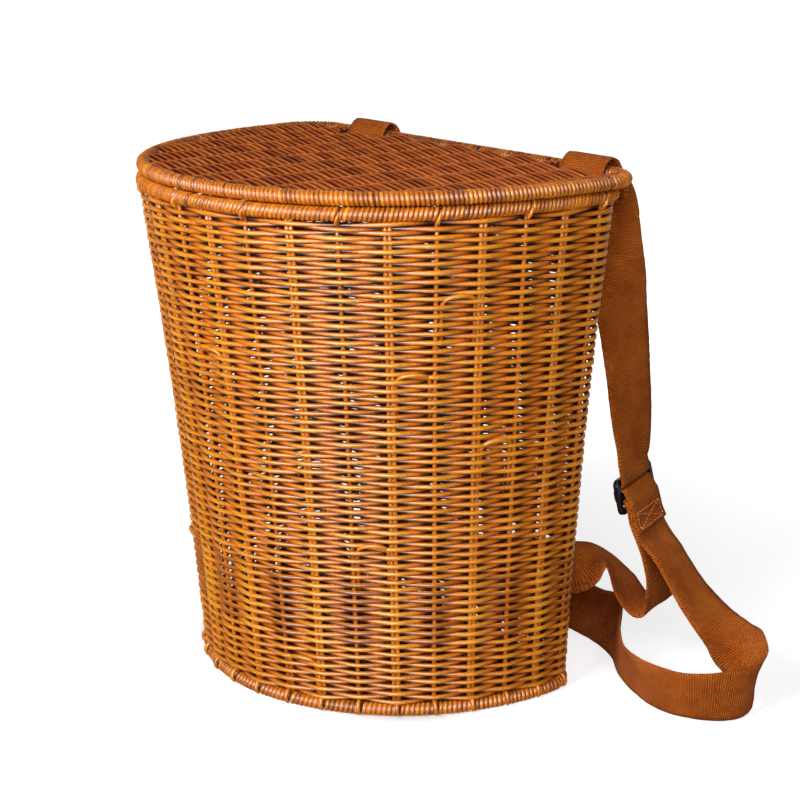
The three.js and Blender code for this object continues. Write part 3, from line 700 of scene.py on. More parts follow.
# Tones and swells drawn for the turns, and how much painted shade darkens the valleys and the inner side.
TURN_DRAWS = 4096
WRAP_TONE = 0.55
WRAP_TONE_SPREAD = 0.1
WRAP_TONE_LIMITS = (0.05, 0.95)
WRAP_SWELL = 0.06
WRAP_VALLEY_SHADE = 0.6
INNER_FROM = 0.4
# Fibre pattern: millimetres that part two turns, and its width over one turn.
TURN_GRAIN = 31.0
TURN_GRAIN_WIDE = 0.4
# Shares of the lid hoop's length where a new strand starts, and the gap there.
LID_BREAKS = [0.03, 0.19, 0.36, 0.46, 0.655, 0.82]
LID_BREAK_GAP = 0.5
# Painted shade on the lid hoop's inner side.
LID_INNER_SHADE = 0.24
END_TONES = (0.4, 0.7)


def wrap_profile(place, total, pitch, breaks, gap):
    """Height from 0 to 1 of wound strand, and the turn's number, at places along a hoop."""
    starts = np.sort(np.asarray(breaks, float) % total)
    place = np.asarray(place) % total
    first = np.searchsorted(starts, place, side="right") - 1
    begin = starts[first] - np.where(first < 0, total, 0)
    ends = np.append(starts[1:], starts[0] + total)
    stretch = ends[first] - starts[first] - gap
    turns = np.maximum(np.round(stretch / pitch), 1)
    local = (place - begin - gap / 2) / stretch * turns
    across = (local % 1.0) * 2 - 1
    height = np.sqrt(np.clip(1 - (WRAP_FLANK * across) ** 2, 0, 1))
    height = np.where((local < 0) | (local > turns), 0.0, height)
    return height, np.floor(local) + RUN_STEP * first


def wind_hoop(loop, radius, z, pitch, depth, breaks, gap, lean, inner=0.0):
    """Strand wound closely round a hoop, as one net with a ridge for each turn; lean is in turns, and the inner
    side may take a painted shade."""
    rings = int(loop.length / pitch * RINGS_PER_TURN)
    share = np.arange(rings) / rings
    turn = (np.arange(HOOP_SIDES) / HOOP_SIDES * 2 - 1) * math.pi
    place = share[:, None] * loop.length + lean * pitch * (turn / (2 * math.pi))[None]
    height, number = wrap_profile(place, loop.length, pitch, breaks, gap)
    rng = np.random.default_rng(SEED + 5)
    tones = np.clip(WRAP_TONE + WRAP_TONE_SPREAD * rng.standard_normal(TURN_DRAWS), *WRAP_TONE_LIMITS)
    swell = WRAP_SWELL * rng.standard_normal(TURN_DRAWS)
    number = number.astype(int) % TURN_DRAWS
    reach = radius - depth * (1 - height) + swell[number]
    middle = loop.place(share)
    out = loop.out(share)
    points = np.zeros((rings, HOOP_SIDES, 3))
    points[..., :2] = middle[:, None] + out[:, None] * (reach * np.cos(turn)[None])[..., None]
    points[..., 2] = z + reach * np.sin(turn)[None]
    marks = np.zeros(points.shape)
    marks[..., 0] = turn[None] * radius + TURN_GRAIN * number
    marks[..., 1] = height * TURN_GRAIN_WIDE
    # The valleys between turns take a painted shade.
    inside = np.clip(INNER_FROM - np.cos(turn), 0, 1)[None]
    marks[..., 2] = tones[number] - WRAP_VALLEY_SHADE * (1 - height) - inner * inside
    wound = Strands()
    wound.grid(points, marks, True)
    return wound


# A stake's end on a hoop: distance along, height over the hoop's middle, distance outwards, radius.
RIM_END = [
    (0.0, -6.6, 0.6, 1.3), (0.0, -4.9, 2.8, 1.3), (-0.1, -3.2, 4.0, 1.2), (-0.7, -1.4, 4.2, 1.0),
    (-1.4, 0.4, 3.6, 0.8), (-2.0, 2.0, 2.4, 0.6),
]
BASE_END = [
    (0.0, 6.6, 0.6, 1.35), (0.0, 4.9, 3.3, 1.4), (0.0, 2.9, 4.8, 1.4), (-0.1, 0.7, 5.1, 1.35),
    (-0.3, -1.4, 4.6, 1.15), (-0.6, -2.9, 3.2, 0.8),
]


def tuck_ends(wound, loop, z, shares, shape, rng):
    """Stake ends that lie on a hoop's outside and tuck into its wrapping."""
    shape = np.array(shape)
    for share in shares:
        spot = share + shape[:, 0] / loop.length
        flat = loop.place(spot) + loop.out(spot) * shape[:, 2:3]
        path = np.column_stack([flat, z + shape[:, 1]])
        wound.strand(path, shape[:, 3], rng.uniform(*END_TONES), sides=ROD_SIDES, up=(*loop.out(share), 0.1))


def wind_rims(context):
    """Winds the rim hoop and the base hoop; a stake's end starts each new run of turns."""
    sizes = sizes_mm(context)
    rng = np.random.default_rng(SEED + 2)
    shares = stake_shares()[:-1]
    for name, loop, radius, z, pitch, lean, ends, gap, shape in (
        ("top_hoop", WALL_HEAD, RIM_HOOP_R, RIM_Z, sizes.rim_wrap, 2, shares[::2], 1.3, RIM_END),
        ("base_hoop", WALL_FOOT, BASE_HOOP_R, BASE_Z, sizes.base_wrap, 1, shares, 1.9, BASE_END),
    ):
        breaks = ends * loop.length - gap / 2
        wound = wind_hoop(loop, radius, z, pitch, sizes.wrap_round, breaks, gap, lean)
        tuck_ends(wound, loop, z, ends, shape, rng)
        wound.piece(name + "_wrap", wall_wicker(context), "basket", "strand", [name])


def wind_lid_rim(context):
    """Winds the lid's hoop, with a painted shade on its inner side."""
    sizes = sizes_mm(context)
    breaks = np.array(LID_BREAKS) * LID_LOOP.length
    wound = wind_hoop(
        LID_LOOP, LID_HOOP_R, LID_Z, sizes.lid_wrap, sizes.wrap_round, breaks, LID_BREAK_GAP, -1, LID_INNER_SHADE
    )
    wound.piece("lid_hoop_wrap", wall_wicker(context), "lid", "strand", ["lid_hoop"])


# Flat woven panels

LID_RIBS = 9
LID_EDGE_RIB = 5
BASE_RIBS = 7
BASE_RIB_R = 0.95
BASE_LIFT = 0.2
LID_TONE = 0.64
BASE_TONE = 0.45
PANEL_CLEAR = 1.0
PANEL_STEPS = 8
PANEL_LIFT = 0.05
PANEL_TONE_SPREAD = 0.1
PANEL_GIRTH_SPREAD = 0.04
# Painted shade: a little on the crests, against the light that falls more on them than on the dives, and more in
# the valleys between rows.
PANEL_CREST_SHADE = 0.12
PANEL_VALLEY_SHADE = 0.5
# A row's drift from front to back: height and length of each wave.
PANEL_DRIFT = ((0.12, 41), (0.1, 17))
RIB_POINTS = 20
RIB_BOW = 0.15
RIB_BOW_LONG = 31
RIB_SWELL_LONG = 23
RIB_SLOT_CLEAR = 2.3


def weave_panel(loop, z, row, strand, rib, tone_at, cuts, rng):
    """Rows across a hoop that pass over and under ribs set from front to back."""
    woven = Strands()
    front, back = loop.span(0.0)
    rows = int((back - front) / row)
    wave = rib + strand / 2 + PANEL_LIFT
    for number in range(rows):
        y = front + (back - front) * (number + 0.5) / rows
        half = loop.width(y) - PANEL_CLEAR
        steps = max(int(2 * half / RIB_PITCH * PANEL_STEPS), 4)
        x = np.linspace(-half, half, steps + 1)
        side = 1 if number % 2 else -1
        roll = rng.uniform(0, 2 * math.pi, 2)
        drift = sum(high * np.sin(x / long + r) for (high, long), r in zip(PANEL_DRIFT, roll))
        points = np.column_stack([x, y + drift, z + side * wave * over_under(x / RIB_PITCH)])
        keep = np.ones(len(x), bool)
        for centre, edge in cuts:
            if y > edge - strand:
                keep &= np.abs(x - centre) > SLOT_HALF
        tone = np.clip(tone_at + PANEL_TONE_SPREAD * rng.standard_normal(), *TONE_LIMITS)
        size = strand / 2 * (1 + PANEL_GIRTH_SPREAD * rng.standard_normal())
        edges = np.flatnonzero(np.diff(np.concatenate([[0], keep.astype(int), [0]])))
        for a, b in edges.reshape(-1, 2):
            if b - a > 2:
                # Crests take a little painted shade, set against the light that falls more on them than on the
                # parts that dive.
                crest = tone - PANEL_CREST_SHADE * side * over_under(x[a:b] / RIB_PITCH)
                woven.strand(points[a:b], size, crest, up=(0, 1, 0), valley=PANEL_VALLEY_SHADE)
    return woven


def rib_rod(loop, x, z, radius, rng, back=math.inf):
    """One rod from the front of a hoop to its back, or to an earlier end."""
    limits = loop.span(x)
    y = np.linspace(limits[0] + PANEL_CLEAR, min(limits[1] - PANEL_CLEAR, back), RIB_POINTS)
    bow = RIB_BOW * np.sin(y / RIB_BOW_LONG + rng.uniform(0, START))
    path = np.column_stack([x + bow, y, np.full(len(y), z)])
    girth = radius * (1 + ROD_SWELL * np.sin(y / RIB_SWELL_LONG))
    rod = Strands()
    rod.strand(path, girth, rng.uniform(*ROD_TONES), sides=ROD_SIDES)
    return rod


def weave_lid(context):
    """Weaves the lid round its ribs and leaves slots for the webbing loops."""
    sizes = sizes_mm(context)
    rng = np.random.default_rng(SEED + 3)
    cuts = [(x, LID_SLOT_FRONT) for x in STRAP_X.values()]
    woven = weave_panel(LID_LOOP, LID_Z, sizes.lid_row, sizes.lid_strand, sizes.stake, LID_TONE, cuts, rng)
    woven.piece("lid_weave", lid_wicker(context), "lid", "lid_strand", ["lid_panel"])
    for number in range(LID_RIBS):
        x = (number - LID_RIBS // 2) * RIB_PITCH
        at_slot = any(abs(x - s) < SLOT_HALF + RIB_SLOT_CLEAR for s in STRAP_X.values())
        back = LID_SLOT_FRONT - PANEL_CLEAR if at_slot else math.inf
        rod = rib_rod(LID_LOOP, x, LID_Z, sizes.stake, rng, back)
        node = f"lid_rib_{number + 1}"
        rod.piece(node + "_rod", lid_wicker(context), "lid", "lid_strand", [node])
    for name, number in (("left", -LID_EDGE_RIB), ("right", LID_EDGE_RIB)):
        rod = rib_rod(LID_LOOP, number * RIB_PITCH, LID_Z, sizes.stake, rng)
        rod.piece("lid_edge_rib_" + name, lid_wicker(context), "lid", "lid_strand")


def weave_base(context):
    """Weaves the basket's floor round its ribs."""
    sizes = sizes_mm(context)
    rng = np.random.default_rng(SEED + 4)
    z = BASE_Z + BASE_LIFT
    woven = weave_panel(WALL_FOOT, z, sizes.base_row, sizes.base_strand, BASE_RIB_R, BASE_TONE, [], rng)
    woven.piece("base_weave", wall_wicker(context), "basket", "strand", ["base_panel"])
    for number in range(BASE_RIBS):
        rod = rib_rod(WALL_FOOT, (number - BASE_RIBS // 2) * RIB_PITCH, z, BASE_RIB_R, rng)
        rod.piece(f"base_rib_{number + 1}", wall_wicker(context), "basket", "strand")


# Straps: each place on a route is a middle point and the direction across the webbing.

ROUTE_STEP = 3.0
WEB_COLUMNS = 11
EDGE_THIN = 0.55
EDGE_WAVE = 0.006
EDGE_WAVE_LONG = 7
EDGE_SPREAD = 0.005
# Round the rim and the lid's back rod: depth and height.
LOOP = [
    (120.5, 327.9), (114.5, 329.7), (110.1, 329.8), (105.3, 331.4), (103.3, 335.8), (104.4, 341),
    (107.2, 346.4), (109.8, 351.6), (115.2, 355.4), (120.8, 353.4), (124.6, 347.2),
]
# The sewn tail behind the rim.
TAIL = {
    "right": [
        ((120, 125.9, 338.4), (0.96, 0.27, 0)), ((120.1, 128, 333.8), (0.94, 0.34, 0)),
        ((120.1, 128.3, 329.8), (0.97, 0.24, 0)), ((120, 125.4, 327.2), (0.99, 0.1, 0)),
    ],
    "left": [
        ((-96, 125.9, 338.4), (-1, 0, 0)), ((-96, 128, 333.8), (-1, 0, 0)), ((-96, 128.3, 329.8), (-1, 0, 0)),
        ((-96, 125.4, 327.2), (-1, 0, 0)),
    ],
}
# On a slider, the running webbing and the sewn end: distance along it and height off its face.
RUNNING = [
    (20, 2.9), (12, 2.8), (9, 2.75), (6.6, 1.9), (5.5, 0), (5.1, -2.9), (2.8, -4.9), (0, -5.1),
    (-2.8, -4.9), (-5.1, -2.9), (-5.5, 0), (-6.6, 1.9), (-9, 2.75), (-12, 2.8), (-20, 2.7),
]
SEWN = [
    (-20, 4.6), (-10, 4.6), (-6, 3.7), (-4.2, 1.9), (-3.6, 0), (-3.2, -2.2), (-1.5, -3.1), (1.5, -3.1),
    (3.2, -2.2), (3.6, 0), (3.1, 2.3), (1.2, 3.4), (-3, 4.6), (-6, 6), (-10, 6.5), (-20, 6.8), (-27, 8.5),
]
# A slider's middle, its direction across the webbing and the way its face looks.
SLIDER_PLACE = {
    "right": ((138.2, 150.7, 129.5), (-0.25, 0.96, 0.1), (0.94, 0.26, 0.2)),
    "left": ((-96, 150, 158), (-1, 0, 0), (0, 1, 0)),
}
HANGING = {
    "right": [
        ((120.1, 127.8, 339.6), (0.97, 0.25, 0)), ((120.3, 131.8, 330.5), (0.93, 0.37, 0)),
        ((120.6, 134.2, 320.5), (0.88, 0.47, 0)), ((121, 135.4, 310), (0.84, 0.54, 0)),
        ((121.5, 137.8, 297), (0.8, 0.6, 0)), ((122.5, 140.6, 279), (0.7, 0.71, 0)),
        ((123.5, 143.8, 260), (0.45, 0.89, 0)), ((125, 147, 242), (0.25, 0.97, 0)),
        ((129.2, 149, 210), (0.12, 0.99, 0)), ((133.8, 149.8, 176), (0, 1, 0)),
        ((136, 149.8, 160), (-0.12, 0.99, 0)),
    ],
    "left": [
        ((-96, 127.8, 339.6), (-1, 0, 0)), ((-96, 131.8, 330.5), (-1, 0, 0)), ((-96, 136, 320.5), (-1, 0, 0)),
        ((-96, 140.6, 310), (-1, 0, 0)), ((-96, 144, 296), (-1, 0, 0)),
        ((-96, 148, 270), (-1, 0, 0)), ((-96, 150.5, 235), (-1, 0, 0)), ((-96, 152, 200), (-1, 0, 0)),
    ],
}
TO_ANCHOR = {
    "right": [
        ((152, 157.5, 88.2), (-0.3, 0.95, 0.05)), ((157, 160, 71), (-0.22, 0.97, 0.1)),
        ((156.6, 161.5, 55), (-0.1, 0.99, 0.02)), ((152, 160, 45), (-0.34, 0.93, -0.15)),
        ((145, 155.5, 45.5), (-0.5, 0.85, 0.15)), ((136.9, 148, 57.5), (-0.45, 0.87, 0.21)),
        ((128.8, 141, 72.5), (-0.66, 0.75, 0.08)), ((123.7, 134, 80.5), (-0.86, 0.51, 0.05)),
        ((120.2, 126, 79), (-0.75, 0.5, 0.4)), ((117.7, 117.5, 75.5), (-0.45, 0.26, 0.84)),
    ],
    "left": [
        ((-98, 152, 120), (-0.97, 0, -0.2)), ((-104, 149, 102), (-0.85, 0.1, -0.5)),
        ((-111, 141, 86), (-0.55, 0.2, -0.8)), ((-113, 129, 79), (-0.15, 0.1, -0.98)),
        ((-107, 117, 74.5), (0, 0, -1)),
    ],
}
ON_FLOOR = {
    "right": [
        ((55, 121, 66), (0, 0.1, 1)), ((46, 137, 52), (0, 0.2, 1)), ((43.5, 156, 37), (0, 0.4, 0.91)),
        ((52.4, 171, 20), (-0.1, 0.7, 0.7)), ((74.4, 176, 15), (0.04, 0.78, 0.62)),
        ((98.4, 170, 17.6), (0.1, 0.5, 0.86)), ((125, 153.5, 19.8), (0.1, 0.14, 0.98)),
        ((149.9, 130, 20), (-0.02, -0.03, 1)), ((177.1, 112, 19.1), (-0.15, -0.27, 0.95)),
        ((201.3, 105.3, 19.2), (-0.03, -0.32, 0.95)), ((225, 109.5, 19.2), (0.14, -0.31, 0.94)),
        ((241.7, 124.5, 19.7), (0.15, -0.15, 0.98)), ((248.3, 145, 20.6), (0.12, -0.05, 0.99)),
        ((245, 156.5, 26.5), (0.17, 0.05, 0.98)), ((230.5, 161.5, 35.2), (0.25, 0.4, 0.88)),
        ((217.1, 163, 42.6), (0.1, 0.95, 0.3)), ((202, 162, 51.5), (-0.04, 0.99, 0.12)),
        ((184.1, 160, 66.1), (-0.17, 0.98, 0.02)), ((165, 157.5, 87.5), (-0.26, 0.96, 0)),
        ((151.5, 157.8, 97.6), (-0.25, 0.96, 0.06)),
    ],
    "left": [
        ((-38, 117, 64), (0, 0, -1)), ((-14, 125, 46), (0, 0, -1)), ((10, 134, 27), (0, 0, -1)),
        ((28, 148, 20), (0, 0, -1)), ((33, 168, 20), (0, 0, -1)), ((22, 187, 20), (0, 0, -1)),
        ((-6, 194, 20), (0, 0, -1)), ((-36, 183, 20), (0, 0, -1)), ((-62, 160, 20), (0, 0, -1)),
        ((-88, 146, 20), (0, 0, -1)), ((-116, 148, 20), (0, 0, -1)), ((-143, 160, 21), (0.05, 0, -1)),
        ((-160, 175, 26), (0.15, 0, -0.98)), ((-159, 191, 39), (0.4, 0, -0.9)),
        ((-142, 194, 57), (0.65, 0, -0.75)), ((-122, 186, 79), (0.85, 0, -0.5)),
        ((-103, 168, 104), (0.97, 0, -0.2)), ((-97, 156.8, 125), (1, 0, 0)),
    ],
}


def slider_frame(side):
    """A slider's middle and its directions across, off its face and along the webbing."""
    centre, across, face = (np.array(v, float) for v in SLIDER_PLACE[side])
    across /= np.linalg.norm(across)
    face -= across * face.dot(across)
    face /= np.linalg.norm(face)
    return centre, across, face, np.cross(face, across)


def anchor_places(side):
    """The route through both slits, round the anchor stake on the inside of the wall."""
    x = ANCHOR_X[side]
    way = 1 if side == "right" else -1
    y = float(wall_point(0.0, ANCHOR_Z, 0.0)[1])
    inside = y - ANCHOR_DEEP
    spots = [
        (SLIT_APART + 6.5, y + 8, 0), (SLIT_APART, y, 0), (SLIT_APART - 6.5, inside + 0.8, 0),
        (0, inside - 0.2, 0), (6.5 - SLIT_APART, inside + 0.8, 0), (-SLIT_APART, y, 0),
        (-SLIT_APART - 9, y + 9, -1),
    ]
    return [((x + way * along, depth, ANCHOR_Z + rise), (0, 0, way)) for along, depth, rise in spots]


def strap_route(side):
    """All places of one strap, from its sewn tail behind the rim to the end folded round the slider."""
    centre, across, face, rise = slider_frame(side)
    way = 1 if side == "right" else -1

    def on_slider(places, turn):
        return [(centre + rise * up + face * off, across * turn) for up, off in places]

    route = TAIL[side] + [((STRAP_X[side], y, z), (way, 0, 0)) for y, z in LOOP]
    route += HANGING[side] + on_slider(RUNNING, 1) + TO_ANCHOR[side]
    route += anchor_places(side) + ON_FLOOR[side] + on_slider(SEWN, way)
    return np.array([r[0] for r in route], float), np.array([r[1] for r in route], float)


def smooth_route(places, across, step):
    """A smooth curve through the places, with the direction across carried along it."""
    first = 2 * places[0] - places[1]
    last = 2 * places[-1] - places[-2]
    p = np.vstack([first, places, last])
    gaps = np.maximum(np.linalg.norm(np.diff(p, axis=0), axis=1), 1e-6) ** 0.5
    path, wide = [], []
    for i in range(1, len(p) - 2):
        a, b, c = gaps[i - 1], gaps[i], gaps[i + 1]
        start = ((p[i] - p[i - 1]) / a - (p[i + 1] - p[i - 1]) / (a + b) + (p[i + 1] - p[i]) / b) * b
        end = ((p[i + 1] - p[i]) / b - (p[i + 2] - p[i]) / (b + c) + (p[i + 2] - p[i + 1]) / c) * b
        count = max(2, round(float(np.linalg.norm(p[i + 1] - p[i])) / step))
        for t in np.arange(count) / count:
            blend = (2 * t**3 - 3 * t**2 + 1, t**3 - 2 * t**2 + t, 3 * t**2 - 2 * t**3, t**3 - t**2)
            path.append(blend[0] * p[i] + blend[1] * start + blend[2] * p[i + 1] + blend[3] * end)
            wide.append(across[i - 1] * (1 - t) + across[i] * t)
    path.append(places[-1])
    wide.append(across[-1])
    return np.array(path), np.array(wide)


def ribbon(path, wide):
    """Directions across and off a ribbon at each point of its path."""
    way = np.gradient(path, axis=0)
    way /= np.linalg.norm(way, axis=1, keepdims=True)
    side = wide - way * np.sum(wide * way, axis=1, keepdims=True)
    for _ in range(3):
        side[1:-1] = (side[:-2] + 2 * side[1:-1] + side[2:]) / 4
        side -= way * np.sum(side * way, axis=1, keepdims=True)
    side /= np.linalg.norm(side, axis=1, keepdims=True)
    return side, np.cross(side, way)


def lay_strap(context, side):
    """Lays one strap along its route; gives the piece, its path and its length."""
    places, across = strap_route(side)
    path, wide = smooth_route(places, across, ROUTE_STEP)
    wide, off = ribbon(path, wide)
    rng = np.random.default_rng(SEED + (6 if side == "right" else 7))
    step = np.concatenate([[0], np.cumsum(np.linalg.norm(np.diff(path, axis=0), axis=1))])
    columns = np.linspace(-1, 1, WEB_COLUMNS)
    edge = np.concatenate([columns, columns[::-1]]) * WEB_WIDTH / 2
    lift = np.repeat([1.0, -1.0], WEB_COLUMNS) * WEB_THICK / 2
    lift[[0, WEB_COLUMNS - 1, WEB_COLUMNS, -1]] *= EDGE_THIN
    wobble = 1 + EDGE_WAVE * np.sin(step / EDGE_WAVE_LONG + rng.uniform(0, START))
    wobble = wobble + EDGE_SPREAD * rng.standard_normal(len(step))
    spread = wide[:, None] * (edge[None] * wobble[:, None])[..., None]
    points = path[:, None] + spread + off[:, None] * lift[None, :, None]
    marks = np.zeros(points.shape)
    marks[..., 0] = step[:, None]
    marks[..., 1] = edge[None]
    marks[..., 2] = MIDDLE_TONE
    web = Strands()
    web.grid(points, marks, False)
    piece = web.piece(f"strap_{side}_webbing", webbing(context), "basket", "webbing", [f"strap_{side}"])
    return piece, path, step[-1]


# Sewn box: its corners along and across the slider, and where a stitch's points lie along it and over the webbing.
STITCH_BOX = [(-13.5, -15), (-13.5, 15), (-25, 15), (-25, -15)]
STITCH_POINTS = ((0.05, -0.2), (0.25, 0.3), (0.6, 0.3), (0.8, -0.2))
THREAD_R = 0.35
# Sliders: corners this close are joined, and edges sharper than this angle are rounded.
WELD = 0.01
EDGE_ANGLE = 40
# The sewn end lies this far off the slider's face, and rises past this place along it.
SEWN_OFF = 6.7
SEWN_BEND = -20
SEWN_SLOPE = 0.243


def stitch_rows(side):
    """Stitches of the box and cross that hold the folded end down, as short paths."""
    centre, across, face, rise = slider_frame(side)
    a, b, c, d = np.array(STITCH_BOX, float)
    rows = []
    for start, end in ((a, b), (b, c), (c, d), (d, a), (a, c), (b, d)):
        count = round(float(np.linalg.norm(end - start)) / STITCH)
        for number in range(count):
            path = []
            for part, up in STITCH_POINTS:
                along, aside = start + (end - start) * (number + part) / count
                off = SEWN_OFF + SEWN_SLOPE * max(SEWN_BEND - along, 0) + WEB_THICK / 2 + up
                path.append(centre + rise * along + across * aside + face * off)
            rows.append(path)
    return rows


def fit_slider(context, side):
    """A slider from its CAD solid, with the rounded edges of a moulding."""
    sizes = sizes_mm(context)
    node = f"slider_{side}"
    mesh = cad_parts[node].data.copy()
    piece = bpy.data.objects.new(node + "_moulding", mesh)
    show(piece, moulded_acetal(context), "basket", [node])
    weld = piece.modifiers.new("weld", "WELD")
    weld.merge_threshold = WELD * MM
    bevel = piece.modifiers.new("edges", "BEVEL")
    bevel.width = sizes.slider_edge * MM
    bevel.segments = 3
    bevel.limit_method = "ANGLE"
    bevel.angle_limit = math.radians(EDGE_ANGLE)
    return piece


def make_straps(context):
    """Both straps with what is on them."""
    for side in ("right", "left"):
        piece, path, reach = lay_strap(context, side)
        moulding = fit_slider(context, side)
        thread = Strands()
        for stitch in stitch_rows(side):
            thread.strand(stitch, THREAD_R, MIDDLE_TONE, up=(0.2, 0.3, 0.9))
        sewing = thread.piece(f"strap_{side}_stitches", sewing_thread(context), "basket", "webbing")


# Stage

CAMERA_PLACE = (966.1, -771.9, 532.6)
CAMERA_TARGET = (0.0, 5.0, 175.0)
IMAGE_PX = 800
FOCAL_PX = 1905.3
CENTRE_PX = (338.4, 415.6)
SENSOR = 36.0
FLOOR_RADIUS = 4000
FLOOR_SIDES = 96
WHITE = (1, 1, 1, 1)
# Metres from the middle over which the paper fades to white, and its level near the basket.
FADE_FROM = 0.3
FADE_TO = 0.9
NEAR_LEVEL = 0.68
# The paper stays dark in an oval under the basket, about 268 by 178 mm: scale, shift and soft edge.
OVAL_SCALE = (7.1, 10.7, 0)
OVAL_SHIFT = (0, -0.13, 0)
OVAL_EDGE = (0.82, 0.95)
# What the world gives to surfaces; to the camera and in reflections it is plain white.
WORLD_LIGHT = 0.035


def seen_directly(tree):
    """One where a ray comes from the camera, a reflection or a transmission, else zero."""
    ray = add_node(tree, "LightPath", {}).outputs
    seen = ray["Is Camera Ray"]
    for kind in ("Is Glossy Ray", "Is Transmission Ray"):
        seen = add_node(tree, "Math", {"operation": "MAXIMUM"}, in_0=seen, in_1=ray[kind]).outputs[0]
    return seen


def matt_paper(tint):
    """Matt white paper: evenly pale, keeps a soft shadow, and fades to white away from the basket."""
    material, tree, shader = new_material(
        "matt_paper", Base_Color=tint, Specular_IOR_Level=0.0, Emission_Color=WHITE
    )
    where = add_node(tree, "TexCoord", {}).outputs["Object"]
    far = add_node(tree, "VectorMath", {"operation": "LENGTH"}, in_0=where).outputs["Value"]
    fade = add_node(
        tree, "MapRange", {"interpolation_type": "SMOOTHSTEP"}, Value=far, From_Min=FADE_FROM, From_Max=FADE_TO,
        To_Min=NEAR_LEVEL, To_Max=1.0,
    )
    under = add_node(
        tree, "VectorMath", {"operation": "MULTIPLY_ADD"}, in_0=where, in_1=OVAL_SCALE, in_2=OVAL_SHIFT
    )
    edge = add_node(tree, "VectorMath", {"operation": "LENGTH"}, in_0=under.outputs[0]).outputs["Value"]
    open_floor = add_node(tree, "MapRange", {}, Value=edge, From_Min=OVAL_EDGE[0], From_Max=OVAL_EDGE[1])
    glow = add_node(tree, "Math", {"operation": "MULTIPLY"}, in_0=fade.outputs[0], in_1=seen_directly(tree))
    glow = add_node(tree, "Math", {"operation": "MULTIPLY"}, in_0=glow.outputs[0], in_1=open_floor.outputs[0])
    tree.links.new(glow.outputs[0], shader.inputs["Emission Strength"])
    return material


def look_at_basket(thing, place):
    """Sets a camera or lamp at its place, turned towards the basket."""
    thing.location = Vector(place) * MM
    aim = Vector(CAMERA_TARGET) * MM - thing.location
    thing.rotation_euler = aim.to_track_quat("-Z", "Y").to_euler()


def area_light(name, place, wide, tall, power, diffuse=True):
    """A soft box that faces the basket; one without diffuse light gives only its shine."""
    lamp = bpy.data.lights.new(name, "AREA")
    lamp.shape = "RECTANGLE"
    lamp.size = wide * MM
    lamp.size_y = tall * MM
    lamp.energy = power
    holder = bpy.data.objects.new(name, lamp)
    bpy.context.collection.objects.link(holder)
    holder.visible_diffuse = diffuse
    look_at_basket(holder, place)


def set_stage(context):
    """Camera, floor, lamps and world."""
    scene = context.scene
    lens = bpy.data.cameras.new("camera")
    lens.sensor_width = SENSOR
    lens.lens = FOCAL_PX / IMAGE_PX * SENSOR
    lens.shift_x = (IMAGE_PX / 2 - CENTRE_PX[0]) / IMAGE_PX
    lens.shift_y = (CENTRE_PX[1] - IMAGE_PX / 2) / IMAGE_PX
    camera = bpy.data.objects.new("camera", lens)
    context.collection.objects.link(camera)
    look_at_basket(camera, CAMERA_PLACE)
    scene.camera = camera

    mesh = bpy.data.meshes.new("floor")
    turn = np.linspace(0, 2 * math.pi, FLOOR_SIDES, endpoint=False)
    rim = np.column_stack([np.cos(turn), np.sin(turn), np.zeros(FLOOR_SIDES)]) * FLOOR_RADIUS * MM
    mesh.from_pydata(rim.tolist(), [], [list(range(FLOOR_SIDES))])
    floor = bpy.data.objects.new("floor", mesh)
    context.collection.objects.link(floor)
    mesh.materials.append(matt_paper(scene.basket_colours.floor))

    area_light("key", (300, -1350, 1000), 600, 600, 21)
    area_light("fill", (1150, -900, 900), 800, 800, 12)
    area_light("sheen", (770, -1230, 650), 1400, 1100, 700, diffuse=False)
    area_light("rear", (-300, 1500, 1300), 1200, 1200, 10)

    world = bpy.data.worlds.new("studio")
    scene.world = world
    world.use_nodes = True
    sky = world.node_tree
    level = add_node(sky, "MapRange", {}, Value=seen_directly(sky), To_Min=WORLD_LIGHT, To_Max=1.0)
    sky.links.new(level.outputs[0], sky.nodes["Background"].inputs["Strength"])
    sky.nodes["Background"].inputs["Color"].default_value = WHITE
    scene.view_settings.view_transform = "Standard"


class BASKET_OT_stage(bpy.types.Operator):
    """Camera, floor and soft studio light"""

    bl_idname = "basket.stage"
    bl_label = "Stage"

    def execute(self, context):
        set_stage(context)
        return {"FINISHED"}


class BASKET_OT_straps(bpy.types.Operator):
    """Webbing straps with their sliders and stitches"""

    bl_idname = "basket.straps"
    bl_label = "Straps"

    def execute(self, context):
        make_straps(context)
        return {"FINISHED"}


class BASKET_OT_wall(bpy.types.Operator):
    """Rows of strand woven round the stakes"""

    bl_idname = "basket.wall"
    bl_label = "Wall weave"

    def execute(self, context):
        weave_wall(context)
        return {"FINISHED"}


class BASKET_OT_stakes(bpy.types.Operator):
    """Upright rods of the wall, single and in pairs"""

    bl_idname = "basket.stakes"
    bl_label = "Stakes"

    def execute(self, context):
        stand_stakes(context)
        return {"FINISHED"}


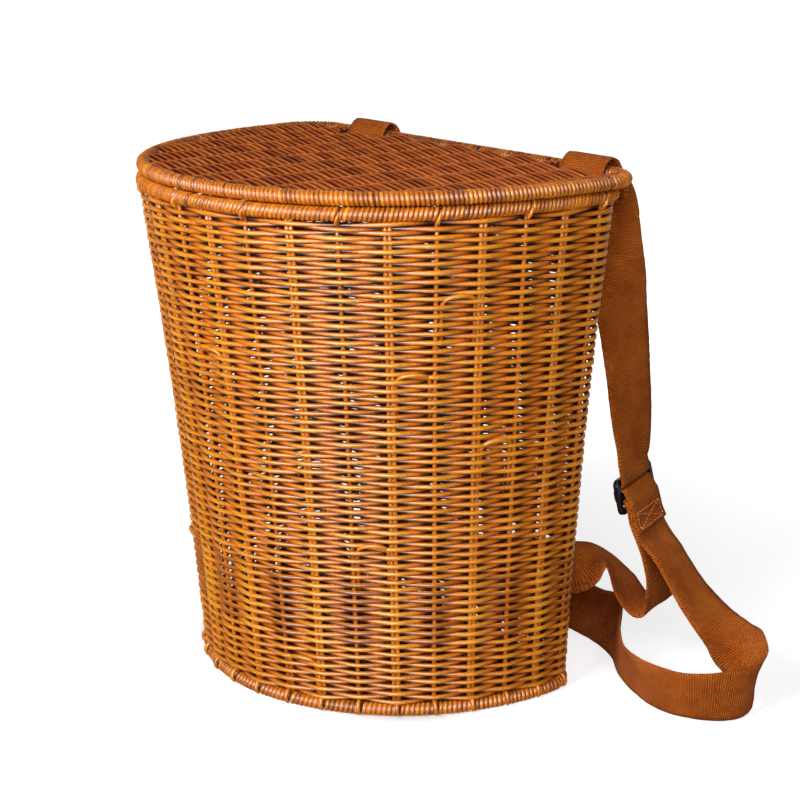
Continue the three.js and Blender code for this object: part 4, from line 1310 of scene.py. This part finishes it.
class BASKET_OT_rims(bpy.types.Operator):
    """Strand wound round the rim hoop and the base hoop"""

    bl_idname = "basket.rims"
    bl_label = "Rim and base wraps"

    def execute(self, context):
        wind_rims(context)
        return {"FINISHED"}


class BASKET_OT_lid_rim(bpy.types.Operator):
    """Strand wound round the lid's hoop"""

    bl_idname = "basket.lid_rim"
    bl_label = "Lid wrap"

    def execute(self, context):
        wind_lid_rim(context)
        return {"FINISHED"}


class BASKET_OT_lid(bpy.types.Operator):
    """Rows of strand woven round the lid's ribs"""

    bl_idname = "basket.lid"
    bl_label = "Lid weave"

    def execute(self, context):
        weave_lid(context)
        return {"FINISHED"}


class BASKET_OT_base(bpy.types.Operator):
    """Woven floor of the basket and its ribs"""

    bl_idname = "basket.base"
    bl_label = "Base weave"

    def execute(self, context):
        weave_base(context)
        return {"FINISHED"}


OPERATORS = [
    BASKET_OT_stage, BASKET_OT_straps, BASKET_OT_wall, BASKET_OT_stakes, BASKET_OT_rims,
    BASKET_OT_lid_rim, BASKET_OT_lid, BASKET_OT_base,
]


class BASKET_PT_sidebar(bpy.types.Panel):
    """Lists the basket's pieces, sizes and colours."""

    bl_label = "Basket"
    bl_space_type = "VIEW_3D"
    bl_region_type = "UI"
    bl_category = "Basket"

    def draw(self, context):
        for maker in OPERATORS:
            self.layout.operator(maker.bl_idname)
        for group in (context.scene.basket_sizes, context.scene.basket_colours):
            for name in group.bl_rna.properties.keys():
                if name not in ("rna_type", "name"):
                    self.layout.prop(group, name)


CLASSES = [BasketSizes, BasketColours, *OPERATORS, BASKET_PT_sidebar]


def register():
    """Adds the classes and the scene's sizes and colours."""
    for made in CLASSES:
        bpy.utils.register_class(made)
    bpy.types.Scene.basket_sizes = bpy.props.PointerProperty(type=BasketSizes)
    bpy.types.Scene.basket_colours = bpy.props.PointerProperty(type=BasketColours)


def unregister():
    """Takes away what register added."""
    del bpy.types.Scene.basket_colours
    del bpy.types.Scene.basket_sizes
    for made in reversed(CLASSES):
        bpy.utils.unregister_class(made)


def main():
    register()
    for maker in OPERATORS:
        group, name = maker.bl_idname.split(".")
        getattr(getattr(bpy.ops, group), name)()


if __name__ == "__main__":
    main()
